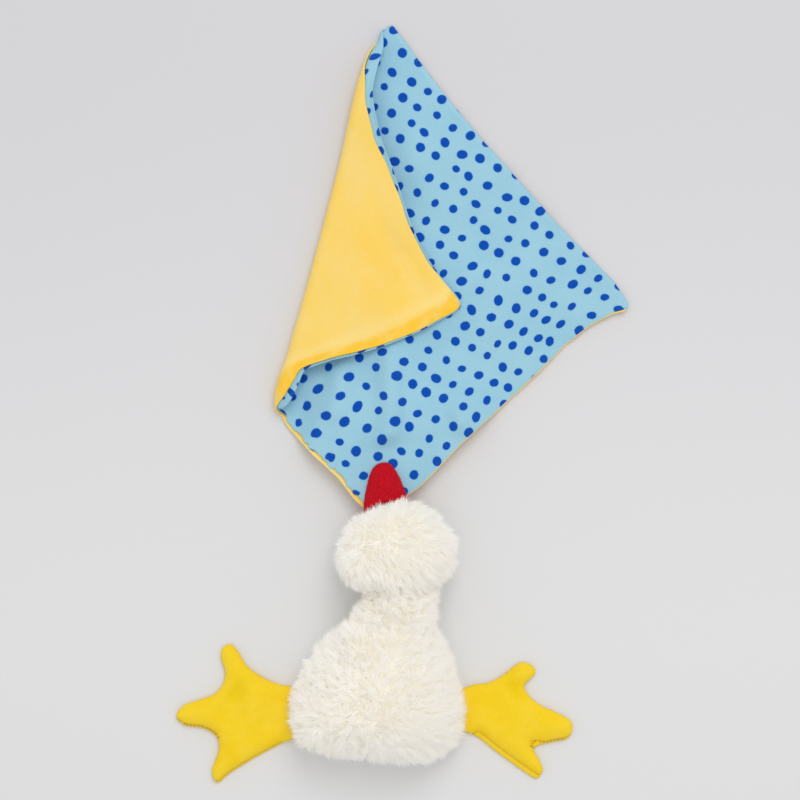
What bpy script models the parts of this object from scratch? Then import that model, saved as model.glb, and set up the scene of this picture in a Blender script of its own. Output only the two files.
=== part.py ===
"""A comfort blanket: a plush duck that holds a folded cloth in its beak.

Metres, +Z up. The duck lies on its belly on the plane z = 0 with its beak towards +Y.
The cloth lies in front of it, with its left corner folded over on itself.
The origin is the middle of the flat patch under the belly.
"""

from math import acos, atan2, cos, pi, radians, sin, sqrt, tan

import bmesh
import bpy
from mathutils import Matrix, Vector

# Fits
GAP = 0.0003
OVERRUN = 0.02
PRESSED_FLAT = 0.0005

# Plush fabric, its backing and pile together
PLUSH = 0.005
PLUSH_BELOW = 0.0045

# Body: a form along +Y, wide and low, that narrows to the neck
BODY_LENGTH = 0.105
BODY_WIDTH = 0.1045
BODY_HEIGHT = 0.054
BODY_TAIL_Y = -0.0455
BELLY_SEAM_HEIGHT = 0.005
BACK_SEAM_SIDE_SHARE = -0.0344
BACK_SEAM_ALONG_SHARE = 0.2048
BACK_SEAM_TURN = radians(-14)
# Share of the length, half width, sideways shift, top, widest level and underside
BODY_STATION_SHARES = (
    (0.005, 0.224, 0.075, 0.44, 0.15, 0.03),
    (0.070, 0.440, 0.019, 0.80, 0.10, 0.00),
    (0.260, 0.523, -0.017, 1.04, 0.09, 0.00),
    (0.470, 0.500, -0.017, 1.05, 0.09, 0.00),
    (0.640, 0.420, 0.000, 0.97, 0.09, 0.00),
    (0.810, 0.304, 0.047, 0.84, 0.15, 0.02),
    (0.943, 0.206, 0.112, 0.68, 0.30, 0.08),
)
BODY_TAIL_SHARES = (0.084, 0.22)
BODY_FRONT_SHARES = (0.150, 0.37)

# Neck: a ball of stuffing that the body and the head turn on, in a crease of plush
NECK_SIDE_SHARE = 0.1837
NECK_SET_IN = 0.0097
NECK_X = BODY_WIDTH * NECK_SIDE_SHARE
NECK_Y = BODY_TAIL_Y + BODY_LENGTH - NECK_SET_IN
NECK_Z = 0.020
NECK_RADIUS = 0.0125
CREASE_SHIFT_X = -0.0095
CREASE_SHIFT_Y = 0.003
CREASE_HALF_WIDTH = 0.0275
CREASE_HALF_LENGTH = 0.020
CREASE_HALF_HEIGHT = 0.0198
BODY_TURN = radians(-11.5)
BODY_CONE_ANGLE = radians(64)
HEAD_CONE_ANGLE = radians(62)

# Head: a form along the direction of the beak, which points a little to the left
HEAD_TURN = radians(9.6)
HEAD_LENGTH = 0.066
HEAD_WIDTH = 0.0755
HEAD_HEIGHT = 0.056
HEAD_START = 0.002
HEAD_SIDE = -0.0033
HEAD_STATION_SHARES = (
    (0.030, 0.265, 0.000, 0.64, 0.36, 0.14),
    (0.210, 0.444, 0.000, 0.89, 0.40, 0.03),
    (0.485, 0.530, 0.000, 1.045, 0.43, 0.00),
    (0.727, 0.457, 0.000, 0.97, 0.41, 0.00),
    (0.894, 0.298, 0.000, 0.76, 0.38, 0.05),
)
HEAD_REAR_SHARES = (0.000, 0.36)
HEAD_FRONT_SHARES = (0.000, 0.38)

# Eyes: small stitched ovals low on the sides of the head
EYE_WIDTH = 0.006
EYE_DEPTH = 0.0024
EYE_FORWARD = 0.046
EYE_HEIGHT = 0.016
EYE_INSET = 0.0055
EYE_TURN = radians(32)

# Beak: two stuffed felt halves with the cloth's corner between them
MOUTH_HEIGHT = 0.010
BEAK_START = 0.048
BEAK_LENGTH = 0.043
BEAK_WIDTH = 0.029
BEAK_RISE = 0.0105
BEAK_DROP = 0.0065
BEAK_STATION_SHARES = (
    (0.05, 0.44, 0.000, 0.85, 0.85),
    (0.28, 0.50, 0.000, 1.00, 1.00),
    (0.51, 0.42, 0.000, 0.86, 0.90),
    (0.74, 0.325, 0.000, 0.66, 0.80),
    (0.91, 0.225, 0.000, 0.50, 0.62),
)

# Feet: padded, webbed, three-toed, each on a rolled seam along the body's side
FOOT_CLOTH = 0.0012
FOOT_CROWN = 0.0066
FOOT_EDGE = 0.0026
FOOT_HOLLOW_SHARE = 0.91
FOOT_WADDING_SHARE = 0.896
FOOT_ROLL_RADIUS = 0.0025
FOOT_ROLL_HEIGHT = 0.0028
FOOT_RING_SHARES = (1.0, 0.84, 0.5)
FOOT_RING_HEIGHT_SHARES = (0.0, 0.62, 0.95)

LEFT_FOOT_SEAT_SHARE = 0.515
LEFT_FOOT_Y = -0.0126
LEFT_FOOT_REACH = 0.0667
LEFT_FOOT_SPREAD = 0.0828
LEFT_FOOT_MIDDLE_SHARES = (0.41, 0.0)
# Share of the reach and of the spread, from the root's far end round the toes
LEFT_FOOT_OUTLINE_SHARES = (
    (0.050, 0.190), (0.207, 0.246), (0.348, 0.326), (0.436, 0.435), (0.507, 0.486),
    (0.577, 0.457), (0.590, 0.390), (0.553, 0.290), (0.570, 0.205), (0.645, 0.130),
    (0.771, 0.087), (0.930, 0.043), (1.000, -0.036), (0.930, -0.101), (0.762, -0.123),
    (0.650, -0.170), (0.607, -0.246), (0.635, -0.341), (0.674, -0.428), (0.648, -0.507),
    (0.600, -0.512), (0.507, -0.449), (0.304, -0.348), (0.119, -0.268), (0.050, -0.240),
)

RIGHT_FOOT_SEAT_SHARE = 0.488
RIGHT_FOOT_Y = -0.0108
RIGHT_FOOT_REACH = 0.0617
RIGHT_FOOT_SPREAD = 0.0696
RIGHT_FOOT_MIDDLE_SHARES = (0.31, -0.08)
RIGHT_FOOT_OUTLINE_SHARES = (
    (0.050, 0.205), (0.192, 0.224), (0.333, 0.293), (0.427, 0.362), (0.521, 0.397),
    (0.606, 0.379), (0.653, 0.319), (0.640, 0.254), (0.575, 0.180), (0.624, 0.086),
    (0.718, 0.017), (0.859, -0.043), (0.972, -0.103), (1.000, -0.164), (0.962, -0.259),
    (0.812, -0.293), (0.690, -0.325), (0.640, -0.365), (0.690, -0.448), (0.728, -0.534),
    (0.662, -0.603), (0.596, -0.586), (0.427, -0.483), (0.239, -0.362), (0.108, -0.267),
    (0.050, -0.245),
)

# Cloth: a jersey and a velour sheet, sewn together and turned
JERSEY = 0.0009
VELOUR = 0.0011
CLOTH_LONG_SIDE = 0.223
CLOTH_SHORT_SIDE = 0.195
CLOTH_CORNER_RADIUS = 0.010
CLOTH_TURN = radians(54.4)
CORNER_DEPTH = 0.0366
CORNER_ASIDE = -0.0088
FOLD_TURN = radians(-15)
FOLD_RADIUS = 0.004
FOLD_MARGIN = 0.0005
TOP_CORNER_ALONG = -0.0046
TOP_CORNER_ACROSS = 0.0031
FLAP_SETTLES_OVER = 0.060
FLAP_GAP = 0.0006
HINGE_AHEAD = 0.002
HINGE_CLEARANCE = 0.0012
CLOTH_DROPS_OVER = 0.076
CLOTH_DROP_SIDE = 0.052
CLOTH_DROP_SIDE_OVER = 0.030
FOLD_STAYS_DOWN = 0.010
FOLD_RISES_OVER = 0.016
DRAW_IN = 0.008
DRAW_IN_OVER = 0.045
DRAW_IN_BIAS_SHARES = (0.95, 0.78)
SHEET_CELL = 0.016
FLAP_CELL = 0.012

# Mesh fineness
AROUND = 12
CONE_SIDES = 32
BALL_SIDES = 16
BALL_RINGS = 8
UPPER_ROUNDNESS = 2.2
LOWER_ROUNDNESS = 3.0
HEAD_LOWER_ROUNDNESS = 2.3
CORNER_FACETS = 3
FOLD_FACETS = 8
SHARP_ANGLE = radians(50)

# The socket's facets stay clear of the ball while it turns
SOCKET_RADIUS = (NECK_RADIUS + GAP) / (cos(pi / BALL_SIDES) * cos(pi / BALL_RINGS / 2))
LEFT_FOOT_X = -(BODY_WIDTH * LEFT_FOOT_SEAT_SHARE + FOOT_ROLL_RADIUS + GAP)
RIGHT_FOOT_X = BODY_WIDTH * RIGHT_FOOT_SEAT_SHARE + FOOT_ROLL_RADIUS + GAP
CLOTH_THICKNESS = JERSEY + GAP + VELOUR
CLOTH_LEVEL = VELOUR + GAP / 2
NECK = Vector((NECK_X, NECK_Y, NECK_Z))
HEAD_FORWARD = Vector((-sin(HEAD_TURN), cos(HEAD_TURN), 0))
HEAD_RIGHT = Vector((cos(HEAD_TURN), sin(HEAD_TURN), 0))
BODY_FORWARD = Vector((-sin(BODY_TURN), cos(BODY_TURN), 0))
FOLD_ALONG = Vector((sin(FOLD_TURN), -cos(FOLD_TURN), 0))
FOLD_ACROSS = Vector((cos(FOLD_TURN), sin(FOLD_TURN), 0))

# The cloth's bottom corner is in the beak, and the rest of the cloth is placed from it
BEAK_TIP = Vector((NECK_X, NECK_Y, 0)) + HEAD_FORWARD * (BEAK_START + BEAK_LENGTH) + HEAD_RIGHT * HEAD_SIDE
HINGE = BEAK_TIP + HEAD_FORWARD * HINGE_AHEAD
HELD_CORNER = HINGE - HEAD_FORWARD * CORNER_DEPTH + HEAD_RIGHT * CORNER_ASIDE
CORNER_ALONG = (TOP_CORNER_ALONG + CLOTH_LONG_SIDE * cos(CLOTH_TURN)
                + CLOTH_SHORT_SIDE * sin(CLOTH_TURN))
CORNER_ACROSS = (TOP_CORNER_ACROSS + CLOTH_LONG_SIDE * sin(CLOTH_TURN)
                 - CLOTH_SHORT_SIDE * cos(CLOTH_TURN))
FOLD_START = HELD_CORNER - FOLD_ALONG * CORNER_ALONG - FOLD_ACROSS * CORNER_ACROSS
WHOLE_SIZE = BODY_LENGTH + HEAD_LENGTH + BEAK_LENGTH + CLOTH_LONG_SIDE + CLOTH_SHORT_SIDE


def clear_scene():
    for item in list(bpy.data.objects):
        bpy.data.objects.remove(item, do_unlink=True)


def new_collection(name):
    collection = bpy.data.collections.new(name)
    bpy.context.scene.collection.children.link(collection)
    return collection


def material(name, colour, roughness):
    finish = bpy.data.materials.new(name)
    finish.use_nodes = True
    shader = finish.node_tree.nodes["Principled BSDF"]
    shader.inputs["Base Color"].default_value = (*colour, 1.0)
    shader.inputs["Roughness"].default_value = roughness
    shader.inputs["Metallic"].default_value = 0.0
    return finish


def add_object(name, mesh_source, finish, collection):
    """Turn a bmesh into a named object with smooth faces."""
    mesh = bpy.data.meshes.new(name)
    mesh_source.to_mesh(mesh)
    mesh_source.free()
    mesh.materials.append(finish)
    item = bpy.data.objects.new(name, mesh)
    collection.objects.link(item)
    mesh.shade_smooth()
    mesh.set_sharp_from_angle(angle=SHARP_ANGLE)
    return item


def add_cutter(name, mesh_source):
    mesh = bpy.data.meshes.new(name)
    mesh_source.to_mesh(mesh)
    mesh_source.free()
    item = bpy.data.objects.new(name, mesh)
    cutters.objects.link(item)
    item.hide_render = True
    item.display_type = "WIRE"
    return item


def cut(item, cutter, operation="DIFFERENCE"):
    step = item.modifiers.new(cutter.name, "BOOLEAN")
    step.operation = operation
    step.solver = "EXACT"
    step.object = cutter


def soften(item):
    step = item.modifiers.new("soft", "SUBSURF")
    step.levels = 1
    step.render_levels = 1


def power(value, exponent):
    """A signed power, for rounded-square sections."""
    return (abs(value) ** exponent) * (1 if value >= 0 else -1)


def lerp(low, high, share):
    return low + (high - low) * share


def ease(share):
    share = min(max(share, 0), 1)
    return share * share * (3 - 2 * share)


def form_cage(stations, first_end, last_end, roundness_above, roundness_below):
    """A ball whose rings are spread over the stations, as the coarse cage of a soft form.

    A station is (forward, half width, sideways, top, widest level, underside), an end is
    (forward, sideways, height). The rings swell a little, because softening draws them in.
    """
    cage = bmesh.new()
    rows = len(stations) + 1
    bmesh.ops.create_uvsphere(cage, u_segments=AROUND, v_segments=rows, radius=1)
    swell = 3 / (2 + cos(2 * pi / AROUND))
    for vertex in cage.verts:
        row = round(acos(min(max(-vertex.co.z, -1), 1)) / pi * rows)
        if row == 0 or row == rows:
            forward, sideways, height = first_end if row == 0 else last_end
            vertex.co = Vector((sideways, forward, height))
            continue
        forward, half_width, sideways, top, level, underside = stations[row - 1]
        angle = atan2(vertex.co.y, vertex.co.x)
        above = sin(angle) >= 0
        exponent = 2 / (roundness_above if above else roundness_below)
        rise = (top - level) if above else (level - underside)
        x = sideways + half_width * swell * power(cos(angle), exponent)
        z = level + rise * swell * power(sin(angle), exponent)
        vertex.co = Vector((x, forward, z))
    bmesh.ops.reverse_faces(cage, faces=cage.faces)
    return cage


def body_cage(inset, inset_below):
    """The body's form, drawn in by an inset to make its hollow and its stuffing."""
    stations = []
    for along, half, side, top, level, underside in BODY_STATION_SHARES:
        forward = lerp(BODY_TAIL_Y + inset, BODY_TAIL_Y + BODY_LENGTH - inset, along)
        low = underside * BODY_HEIGHT - PRESSED_FLAT + inset_below
        stations.append((
            forward,
            half * BODY_WIDTH - inset,
            side * BODY_WIDTH,
            top * BODY_HEIGHT - inset,
            max(level * BODY_HEIGHT, low + PRESSED_FLAT),
            low,
        ))
    tail = (BODY_TAIL_Y + inset, BODY_TAIL_SHARES[0] * BODY_WIDTH, BODY_TAIL_SHARES[1] * BODY_HEIGHT)
    front_y = BODY_TAIL_Y + BODY_LENGTH - inset
    front = (front_y, BODY_FRONT_SHARES[0] * BODY_WIDTH, BODY_FRONT_SHARES[1] * BODY_HEIGHT)
    return form_cage(stations, tail, front, UPPER_ROUNDNESS, LOWER_ROUNDNESS)


def place_on_head(cage):
    """Turn a cage built along +Y to the direction of the beak, starting at the neck."""
    turn = Matrix.Translation((NECK_X, NECK_Y, 0)) @ Matrix.Rotation(HEAD_TURN, 4, "Z")
    bmesh.ops.transform(cage, matrix=turn, verts=cage.verts)
    return cage


def head_cage(inset, inset_below):
    stations = []
    for along, half, side, top, level, underside in HEAD_STATION_SHARES:
        low = underside * HEAD_HEIGHT - PRESSED_FLAT + inset_below
        stations.append((
            lerp(HEAD_START + inset, HEAD_START + HEAD_LENGTH - inset, along),
            half * HEAD_WIDTH - inset,
            HEAD_SIDE + side * HEAD_WIDTH,
            top * HEAD_HEIGHT - inset,
            level * HEAD_HEIGHT,
            low,
        ))
    rear = (HEAD_START + inset, HEAD_SIDE, HEAD_REAR_SHARES[1] * HEAD_HEIGHT)
    front = (HEAD_START + HEAD_LENGTH - inset, HEAD_SIDE, HEAD_FRONT_SHARES[1] * HEAD_HEIGHT)
    return place_on_head(form_cage(stations, rear, front, UPPER_ROUNDNESS, HEAD_LOWER_ROUNDNESS))


def beak_cage():
    stations = []
    for along, half, side, rise, drop in BEAK_STATION_SHARES:
        stations.append((
            BEAK_START + along * BEAK_LENGTH,
            half * BEAK_WIDTH,
            HEAD_SIDE + side * BEAK_WIDTH,
            MOUTH_HEIGHT + rise * BEAK_RISE,
            MOUTH_HEIGHT,
            MOUTH_HEIGHT - drop * BEAK_DROP,
        ))
    rear = (BEAK_START, HEAD_SIDE, MOUTH_HEIGHT)
    front = (BEAK_START + BEAK_LENGTH, HEAD_SIDE, MOUTH_HEIGHT)
    return place_on_head(form_cage(stations, rear, front, UPPER_ROUNDNESS, UPPER_ROUNDNESS))


def block(name, low, high, matrix=None):
    """A cutter box between two corners, moved by a matrix."""
    shape = bmesh.new()
    bmesh.ops.create_cube(shape, size=1)
    low = Vector(low)
    high = Vector(high)
    size = high - low
    for vertex in shape.verts:
        vertex.co = low + Vector(((vertex.co.x + 1 / 2) * size.x, (vertex.co.y + 1 / 2) * size.y,
                                  (vertex.co.z + 1 / 2) * size.z))
    if matrix is not None:
        bmesh.ops.transform(shape, matrix=matrix, verts=shape.verts)
    return add_cutter(name, shape)


def ball(name, radius):
    shape = bmesh.new()
    bmesh.ops.create_uvsphere(shape, u_segments=BALL_SIDES, v_segments=BALL_RINGS, radius=radius,
                              matrix=Matrix.Translation(NECK))
    return add_cutter(name, shape)


def cone(name, direction, half_angle, shift):
    """A cutter cone with its point at the neck, moved along its axis by a shift."""
    shape = bmesh.new()
    depth = WHOLE_SIZE / 4
    radius = depth * tan(half_angle)
    bmesh.ops.create_cone(shape, cap_ends=True, segments=CONE_SIDES, radius1=radius, radius2=0,
                          depth=depth)
    turn = direction.to_track_quat("-Z", "Y").to_matrix().to_4x4()
    place = Matrix.Translation(NECK + direction * shift) @ turn @ Matrix.Translation((0, 0, -depth / 2))
    bmesh.ops.transform(shape, matrix=place, verts=shape.verts)
    return add_cutter(name, shape)


def make_shared_cutters():
    """The planes, cones and balls that part the soft forms."""
    reach = WHOLE_SIZE
    half_gap = GAP / 2
    seam_x = BODY_WIDTH * BACK_SEAM_SIDE_SHARE
    seam_y = BODY_TAIL_Y + BODY_LENGTH * BACK_SEAM_ALONG_SHARE
    seam = Matrix.Translation((seam_x, seam_y, 0)) @ Matrix.Rotation(BACK_SEAM_TURN, 4, "Z")
    middle = (Matrix.Translation((NECK_X, NECK_Y, 0)) @ Matrix.Rotation(HEAD_TURN, 4, "Z")
              @ Matrix.Translation((HEAD_SIDE, 0, 0)))
    mouth = MOUTH_HEIGHT
    slot = CLOTH_THICKNESS / 2 + GAP
    shared = {
        "floor": block("floor_cutter", (-reach, -reach, -OVERRUN), (reach, reach, 0)),
        "right_of_back": block("right_of_back_cutter", (-half_gap, -reach, -OVERRUN),
                               (reach, reach, reach), seam),
        "left_of_back": block("left_of_back_cutter", (-reach, -reach, -OVERRUN),
                              (half_gap, reach, reach), seam),
        "below_seam": block("below_seam_cutter", (-reach, -reach, -OVERRUN),
                            (reach, reach, BELLY_SEAM_HEIGHT + half_gap)),
        "above_seam": block("above_seam_cutter", (-reach, -reach, BELLY_SEAM_HEIGHT - half_gap),
                            (reach, reach, reach)),
        "right_of_head": block("right_of_head_cutter", (-half_gap, -reach, -OVERRUN),
                               (reach, reach, reach), middle),
        "left_of_head": block("left_of_head_cutter", (-reach, -reach, -OVERRUN),
                              (half_gap, reach, reach), middle),
        "below_mouth": block("below_mouth_cutter", (-reach, -reach, -OVERRUN),
                             (reach, reach, mouth + slot)),
        "above_mouth": block("above_mouth_cutter", (-reach, -reach, mouth - slot),
                             (reach, reach, reach)),
        "neck_core": ball("neck_core_cutter", NECK_RADIUS + GAP),
        "neck_socket": ball("neck_socket_cutter", SOCKET_RADIUS),
        "behind_neck": cone("behind_neck_cutter", -BODY_FORWARD, BODY_CONE_ANGLE, 0),
        "before_neck": cone("before_neck_cutter", HEAD_FORWARD, HEAD_CONE_ANGLE, 0),
        "crease_behind": cone("crease_behind_cutter", -BODY_FORWARD, BODY_CONE_ANGLE,
                              -GAP / sin(BODY_CONE_ANGLE)),
        "crease_before": cone("crease_before_cutter", HEAD_FORWARD, HEAD_CONE_ANGLE,
                              -GAP / sin(HEAD_CONE_ANGLE)),
        "body_hollow": add_cutter("body_hollow_cutter", body_cage(PLUSH, PLUSH_BELOW)),
        "head_hollow": add_cutter("head_hollow_cutter", head_cage(PLUSH, PLUSH_BELOW)),
        "head_clear": add_cutter("head_clear_cutter", head_cage(-GAP, -GAP)),
    }
    for name in ("body_hollow", "head_hollow", "head_clear"):
        soften(shared[name])
    return shared


def make_body(shared, plush, stuffing):
    cover_left = add_object("body_cover_left", body_cage(0, 0), plush, parts)
    cover_right = add_object("body_cover_right", body_cage(0, 0), plush, parts)
    belly = add_object("belly_panel", body_cage(0, 0), plush, parts)
    filling = add_object("body_filling", body_cage(PLUSH + GAP, PLUSH_BELOW + GAP), stuffing, parts)
    for item in (cover_left, cover_right, belly, filling):
        soften(item)
    cut(cover_left, shared["below_seam"])
    cut(cover_right, shared["below_seam"])
    cut(belly, shared["above_seam"])
    cut(belly, shared["floor"])
    for item in (cover_left, cover_right, belly):
        cut(item, shared["body_hollow"])
    for item in (cover_left, cover_right, belly, filling):
        cut(item, shared["behind_neck"], "INTERSECT")
        cut(item, shared["neck_socket"])
    cut(cover_left, shared["right_of_back"])
    cut(cover_right, shared["left_of_back"])


def make_neck(shared, plush, stuffing):
    shape = bmesh.new()
    bmesh.ops.create_uvsphere(shape, u_segments=BALL_SIDES, v_segments=BALL_RINGS, radius=NECK_RADIUS)
    core = add_object("neck_filling", shape, stuffing, parts)
    core.location = NECK
    shape = bmesh.new()
    bmesh.ops.create_uvsphere(shape, u_segments=BALL_SIDES, v_segments=BALL_RINGS, radius=1)
    stretch = Matrix.Diagonal((CREASE_HALF_WIDTH, CREASE_HALF_LENGTH, CREASE_HALF_HEIGHT, 1))
    place = Matrix.Translation((CREASE_SHIFT_X, CREASE_SHIFT_Y, 0)) @ stretch
    bmesh.ops.transform(shape, matrix=place, verts=shape.verts)
    crease = add_object("neck_cover", shape, plush, parts)
    crease.location = NECK
    for name in ("neck_core", "crease_behind", "crease_before"):
        cut(crease, shared[name])


def make_head(shared, plush, stuffing):
    cover_left = add_object("head_cover_left", head_cage(0, 0), plush, parts)
    cover_right = add_object("head_cover_right", head_cage(0, 0), plush, parts)
    filling = add_object("head_filling", head_cage(PLUSH + GAP, PLUSH_BELOW + GAP), stuffing, parts)
    for item in (cover_left, cover_right, filling):
        soften(item)
    for item in (cover_left, cover_right):
        cut(item, shared["floor"])
        cut(item, shared["head_hollow"])
    for item in (cover_left, cover_right, filling):
        cut(item, shared["before_neck"], "INTERSECT")
        cut(item, shared["neck_socket"])
    cut(cover_left, shared["right_of_head"])
    cut(cover_right, shared["left_of_head"])


def make_eyes(shared, thread):
    for name, side in (("left_eye", -1), ("right_eye", 1)):
        shape = bmesh.new()
        bmesh.ops.create_uvsphere(shape, u_segments=AROUND, v_segments=AROUND // 2, radius=1)
        stretch = Matrix.Diagonal((EYE_DEPTH, EYE_WIDTH / 2, EYE_WIDTH / 2, 1))
        bmesh.ops.transform(shape, matrix=stretch, verts=shape.verts)
        eye = add_object(name, shape, thread, parts)
        lateral = HEAD_SIDE + side * (HEAD_WIDTH / 2 - EYE_INSET)
        spot = HEAD_FORWARD * EYE_FORWARD + HEAD_RIGHT * lateral
        eye.location = (NECK_X + spot.x, NECK_Y + spot.y, EYE_HEIGHT)
        eye.rotation_euler = (0, 0, HEAD_TURN - side * EYE_TURN)
        cut(eye, shared["head_clear"])


def make_beak(shared, felt):
    upper = add_object("upper_beak", beak_cage(), felt, parts)
    lower = add_object("lower_beak", beak_cage(), felt, parts)
    for item in (upper, lower):
        soften(item)
        cut(item, shared["head_clear"])
    cut(upper, shared["below_mouth"])
    cut(lower, shared["above_mouth"])


def foot_pillow(outline, middle, scale, low, crown, edge):
    """A flat-bottomed cushion over an outline, raised by rings towards its middle."""
    shape = bmesh.new()
    rings = []
    for share, height_share in zip(FOOT_RING_SHARES, FOOT_RING_HEIGHT_SHARES):
        height = lerp(edge, crown, height_share)
        ring = []
        for x, y in outline:
            place_x = lerp(middle[0], x, share * scale)
            place_y = lerp(middle[1], y, share * scale)
            ring.append(shape.verts.new((place_x, place_y, height)))
        rings.append(ring)
    base = [shape.verts.new((vertex.co.x, vertex.co.y, low)) for vertex in rings[0]]
    top = shape.verts.new((middle[0], middle[1], crown))
    bottom = shape.verts.new((middle[0], middle[1], low))
    count = len(outline)
    for outer, inner in zip([base] + rings[:-1], rings):
        for index in range(count):
            after = (index + 1) % count
            shape.faces.new((outer[index], outer[after], inner[after], inner[index]))
    for index in range(count):
        after = (index + 1) % count
        shape.faces.new((rings[-1][index], rings[-1][after], top))
        shape.faces.new((base[after], base[index], bottom))
    bmesh.ops.recalc_face_normals(shape, faces=shape.faces)
    return shape


def make_foot(side, root, sizes, outline_shares, middle_shares, velour, stuffing):
    """One foot, built outwards from its rolled seam, which is also its axis."""
    direction = -1 if side == "left" else 1
    reach, spread = sizes
    outline = [(direction * along * reach, across * spread) for along, across in outline_shares]
    middle = (direction * middle_shares[0] * reach, middle_shares[1] * spread)
    pivot = bpy.data.objects.new(side + "_foot_pivot", None)
    pivot.location = (root[0], root[1], FOOT_ROLL_HEIGHT)
    parts.objects.link(pivot)
    floor = -FOOT_ROLL_HEIGHT
    sole_top = floor + FOOT_CLOTH
    upper_low = sole_top + GAP

    sole_shape = foot_pillow(outline, middle, 1, floor, sole_top, sole_top)
    sole = add_object(side + "_foot_sole", sole_shape, velour, parts)
    upper_shape = foot_pillow(outline, middle, 1, upper_low, floor + FOOT_CROWN, floor + FOOT_EDGE)
    upper = add_object(side + "_foot_upper", upper_shape, velour, parts)
    inner_edge = floor + FOOT_EDGE - FOOT_CLOTH / 2
    inner_crown = floor + FOOT_CROWN - FOOT_CLOTH
    hollow = foot_pillow(outline, middle, FOOT_HOLLOW_SHARE, floor, inner_crown, inner_edge)
    hollow_cutter = add_cutter(side + "_foot_hollow_cutter", hollow)
    cut(upper, hollow_cutter)
    wadding_shape = foot_pillow(outline, middle, FOOT_WADDING_SHARE, upper_low, inner_crown - GAP,
                                inner_edge - GAP)
    wadding = add_object(side + "_foot_wadding", wadding_shape, stuffing, parts)

    roll_length = (outline_shares[0][1] - outline_shares[-1][1]) * spread
    roll_middle = (outline_shares[0][1] + outline_shares[-1][1]) / 2 * spread
    shape = bmesh.new()
    bmesh.ops.create_cone(shape, cap_ends=True, segments=AROUND, radius1=FOOT_ROLL_RADIUS,
                          radius2=FOOT_ROLL_RADIUS, depth=roll_length)
    lay_down = Matrix.Translation((0, roll_middle, 0)) @ Matrix.Rotation(pi / 2, 4, "X")
    bmesh.ops.transform(shape, matrix=lay_down, verts=shape.verts)
    roll = add_object(side + "_foot_root", shape, velour, parts)
    for item in (sole, upper, wadding, roll, hollow_cutter):
        item.parent = pivot


def lift_near_beak(point, across):
    """How far the lying cloth is raised where it rises to the beak."""
    away = point - HINGE
    ahead = away.dot(HEAD_FORWARD) / CLOTH_DROPS_OVER
    aside = max(abs(away.dot(HEAD_RIGHT)) - CLOTH_DROP_SIDE, 0) / CLOTH_DROP_SIDE_OVER
    distance = sqrt(max(ahead, 0) ** 2 + aside ** 2)
    if ahead <= 0:
        distance = 0
    held = 1 - ease(distance)
    return (MOUTH_HEIGHT - CLOTH_LEVEL) * held * ease((across - FOLD_STAYS_DOWN) / FOLD_RISES_OVER)


def drawn_in(along, across):
    """Where the free edges of the lying cloth are drawn in a little."""
    shift = Vector((0, 0, 0))
    lower, right = DRAW_IN_BIAS_SHARES
    for edge, bias, depth in ((cloth_edges[2], lower, DRAW_IN), (cloth_edges[1], right, DRAW_IN / 3)):
        start, end = edge
        run = (end[0] - start[0], end[1] - start[1])
        length = sqrt(run[0] ** 2 + run[1] ** 2)
        unit = (run[0] / length, run[1] / length)
        offset = (along - start[0], across - start[1])
        place = (offset[0] * unit[0] + offset[1] * unit[1]) / length
        inside = abs(offset[0] * unit[1] - offset[1] * unit[0])
        reach_share = 1 - ease(inside / DRAW_IN_OVER)
        bow = sin(pi * min(max(place, 0), 1) ** bias)
        inward = (unit[1], -unit[0])
        shift += (FOLD_ALONG * inward[0] + FOLD_ACROSS * inward[1]) * depth * bow * reach_share
    return shift


def cloth_place(along, across):
    """The cloth's middle surface: lying flat, rolled over at the fold, then the flap."""
    arc = pi * FOLD_RADIUS
    line = FOLD_START + FOLD_ALONG * along
    if across >= 0:
        point = line + FOLD_ACROSS * across
        point += drawn_in(along, across) * ease((across - FOLD_STAYS_DOWN) / FOLD_RISES_OVER)
        point.z = CLOTH_LEVEL + lift_near_beak(point, across)
        return point
    if across >= -arc:
        angle = -across / FOLD_RADIUS
        point = line - FOLD_ACROSS * FOLD_RADIUS * sin(angle)
        point.z = CLOTH_LEVEL + FOLD_RADIUS * (1 - cos(angle))
        return point
    over = -across - arc
    point = line + FOLD_ACROSS * over
    rest = CLOTH_THICKNESS + FLAP_GAP
    settle = ease(over / FLAP_SETTLES_OVER)
    point.z = CLOTH_LEVEL + lift_near_beak(point, over) + lerp(2 * FOLD_RADIUS, rest, settle)
    return point


def cloth_normal(along, across):
    """The direction that the jersey faces, from the surface's slopes."""
    step = GAP
    run = cloth_place(along + step, across) - cloth_place(along - step, across)
    rise = cloth_place(along, across + step) - cloth_place(along, across - step)
    return run.cross(rise).normalized()


def cloth_outline_edges():
    """The four sides of the flat cloth, as pairs of corners counted from the top corner."""
    long_run = (cos(CLOTH_TURN), sin(CLOTH_TURN))
    short_run = (sin(CLOTH_TURN), -cos(CLOTH_TURN))
    top = (TOP_CORNER_ALONG, TOP_CORNER_ACROSS)
    right = (top[0] + long_run[0] * CLOTH_LONG_SIDE, top[1] + long_run[1] * CLOTH_LONG_SIDE)
    left = (top[0] + short_run[0] * CLOTH_SHORT_SIDE, top[1] + short_run[1] * CLOTH_SHORT_SIDE)
    bottom = (right[0] + left[0] - top[0], right[1] + left[1] - top[1])
    return [(left, top), (top, right), (right, bottom), (bottom, left)]


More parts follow.
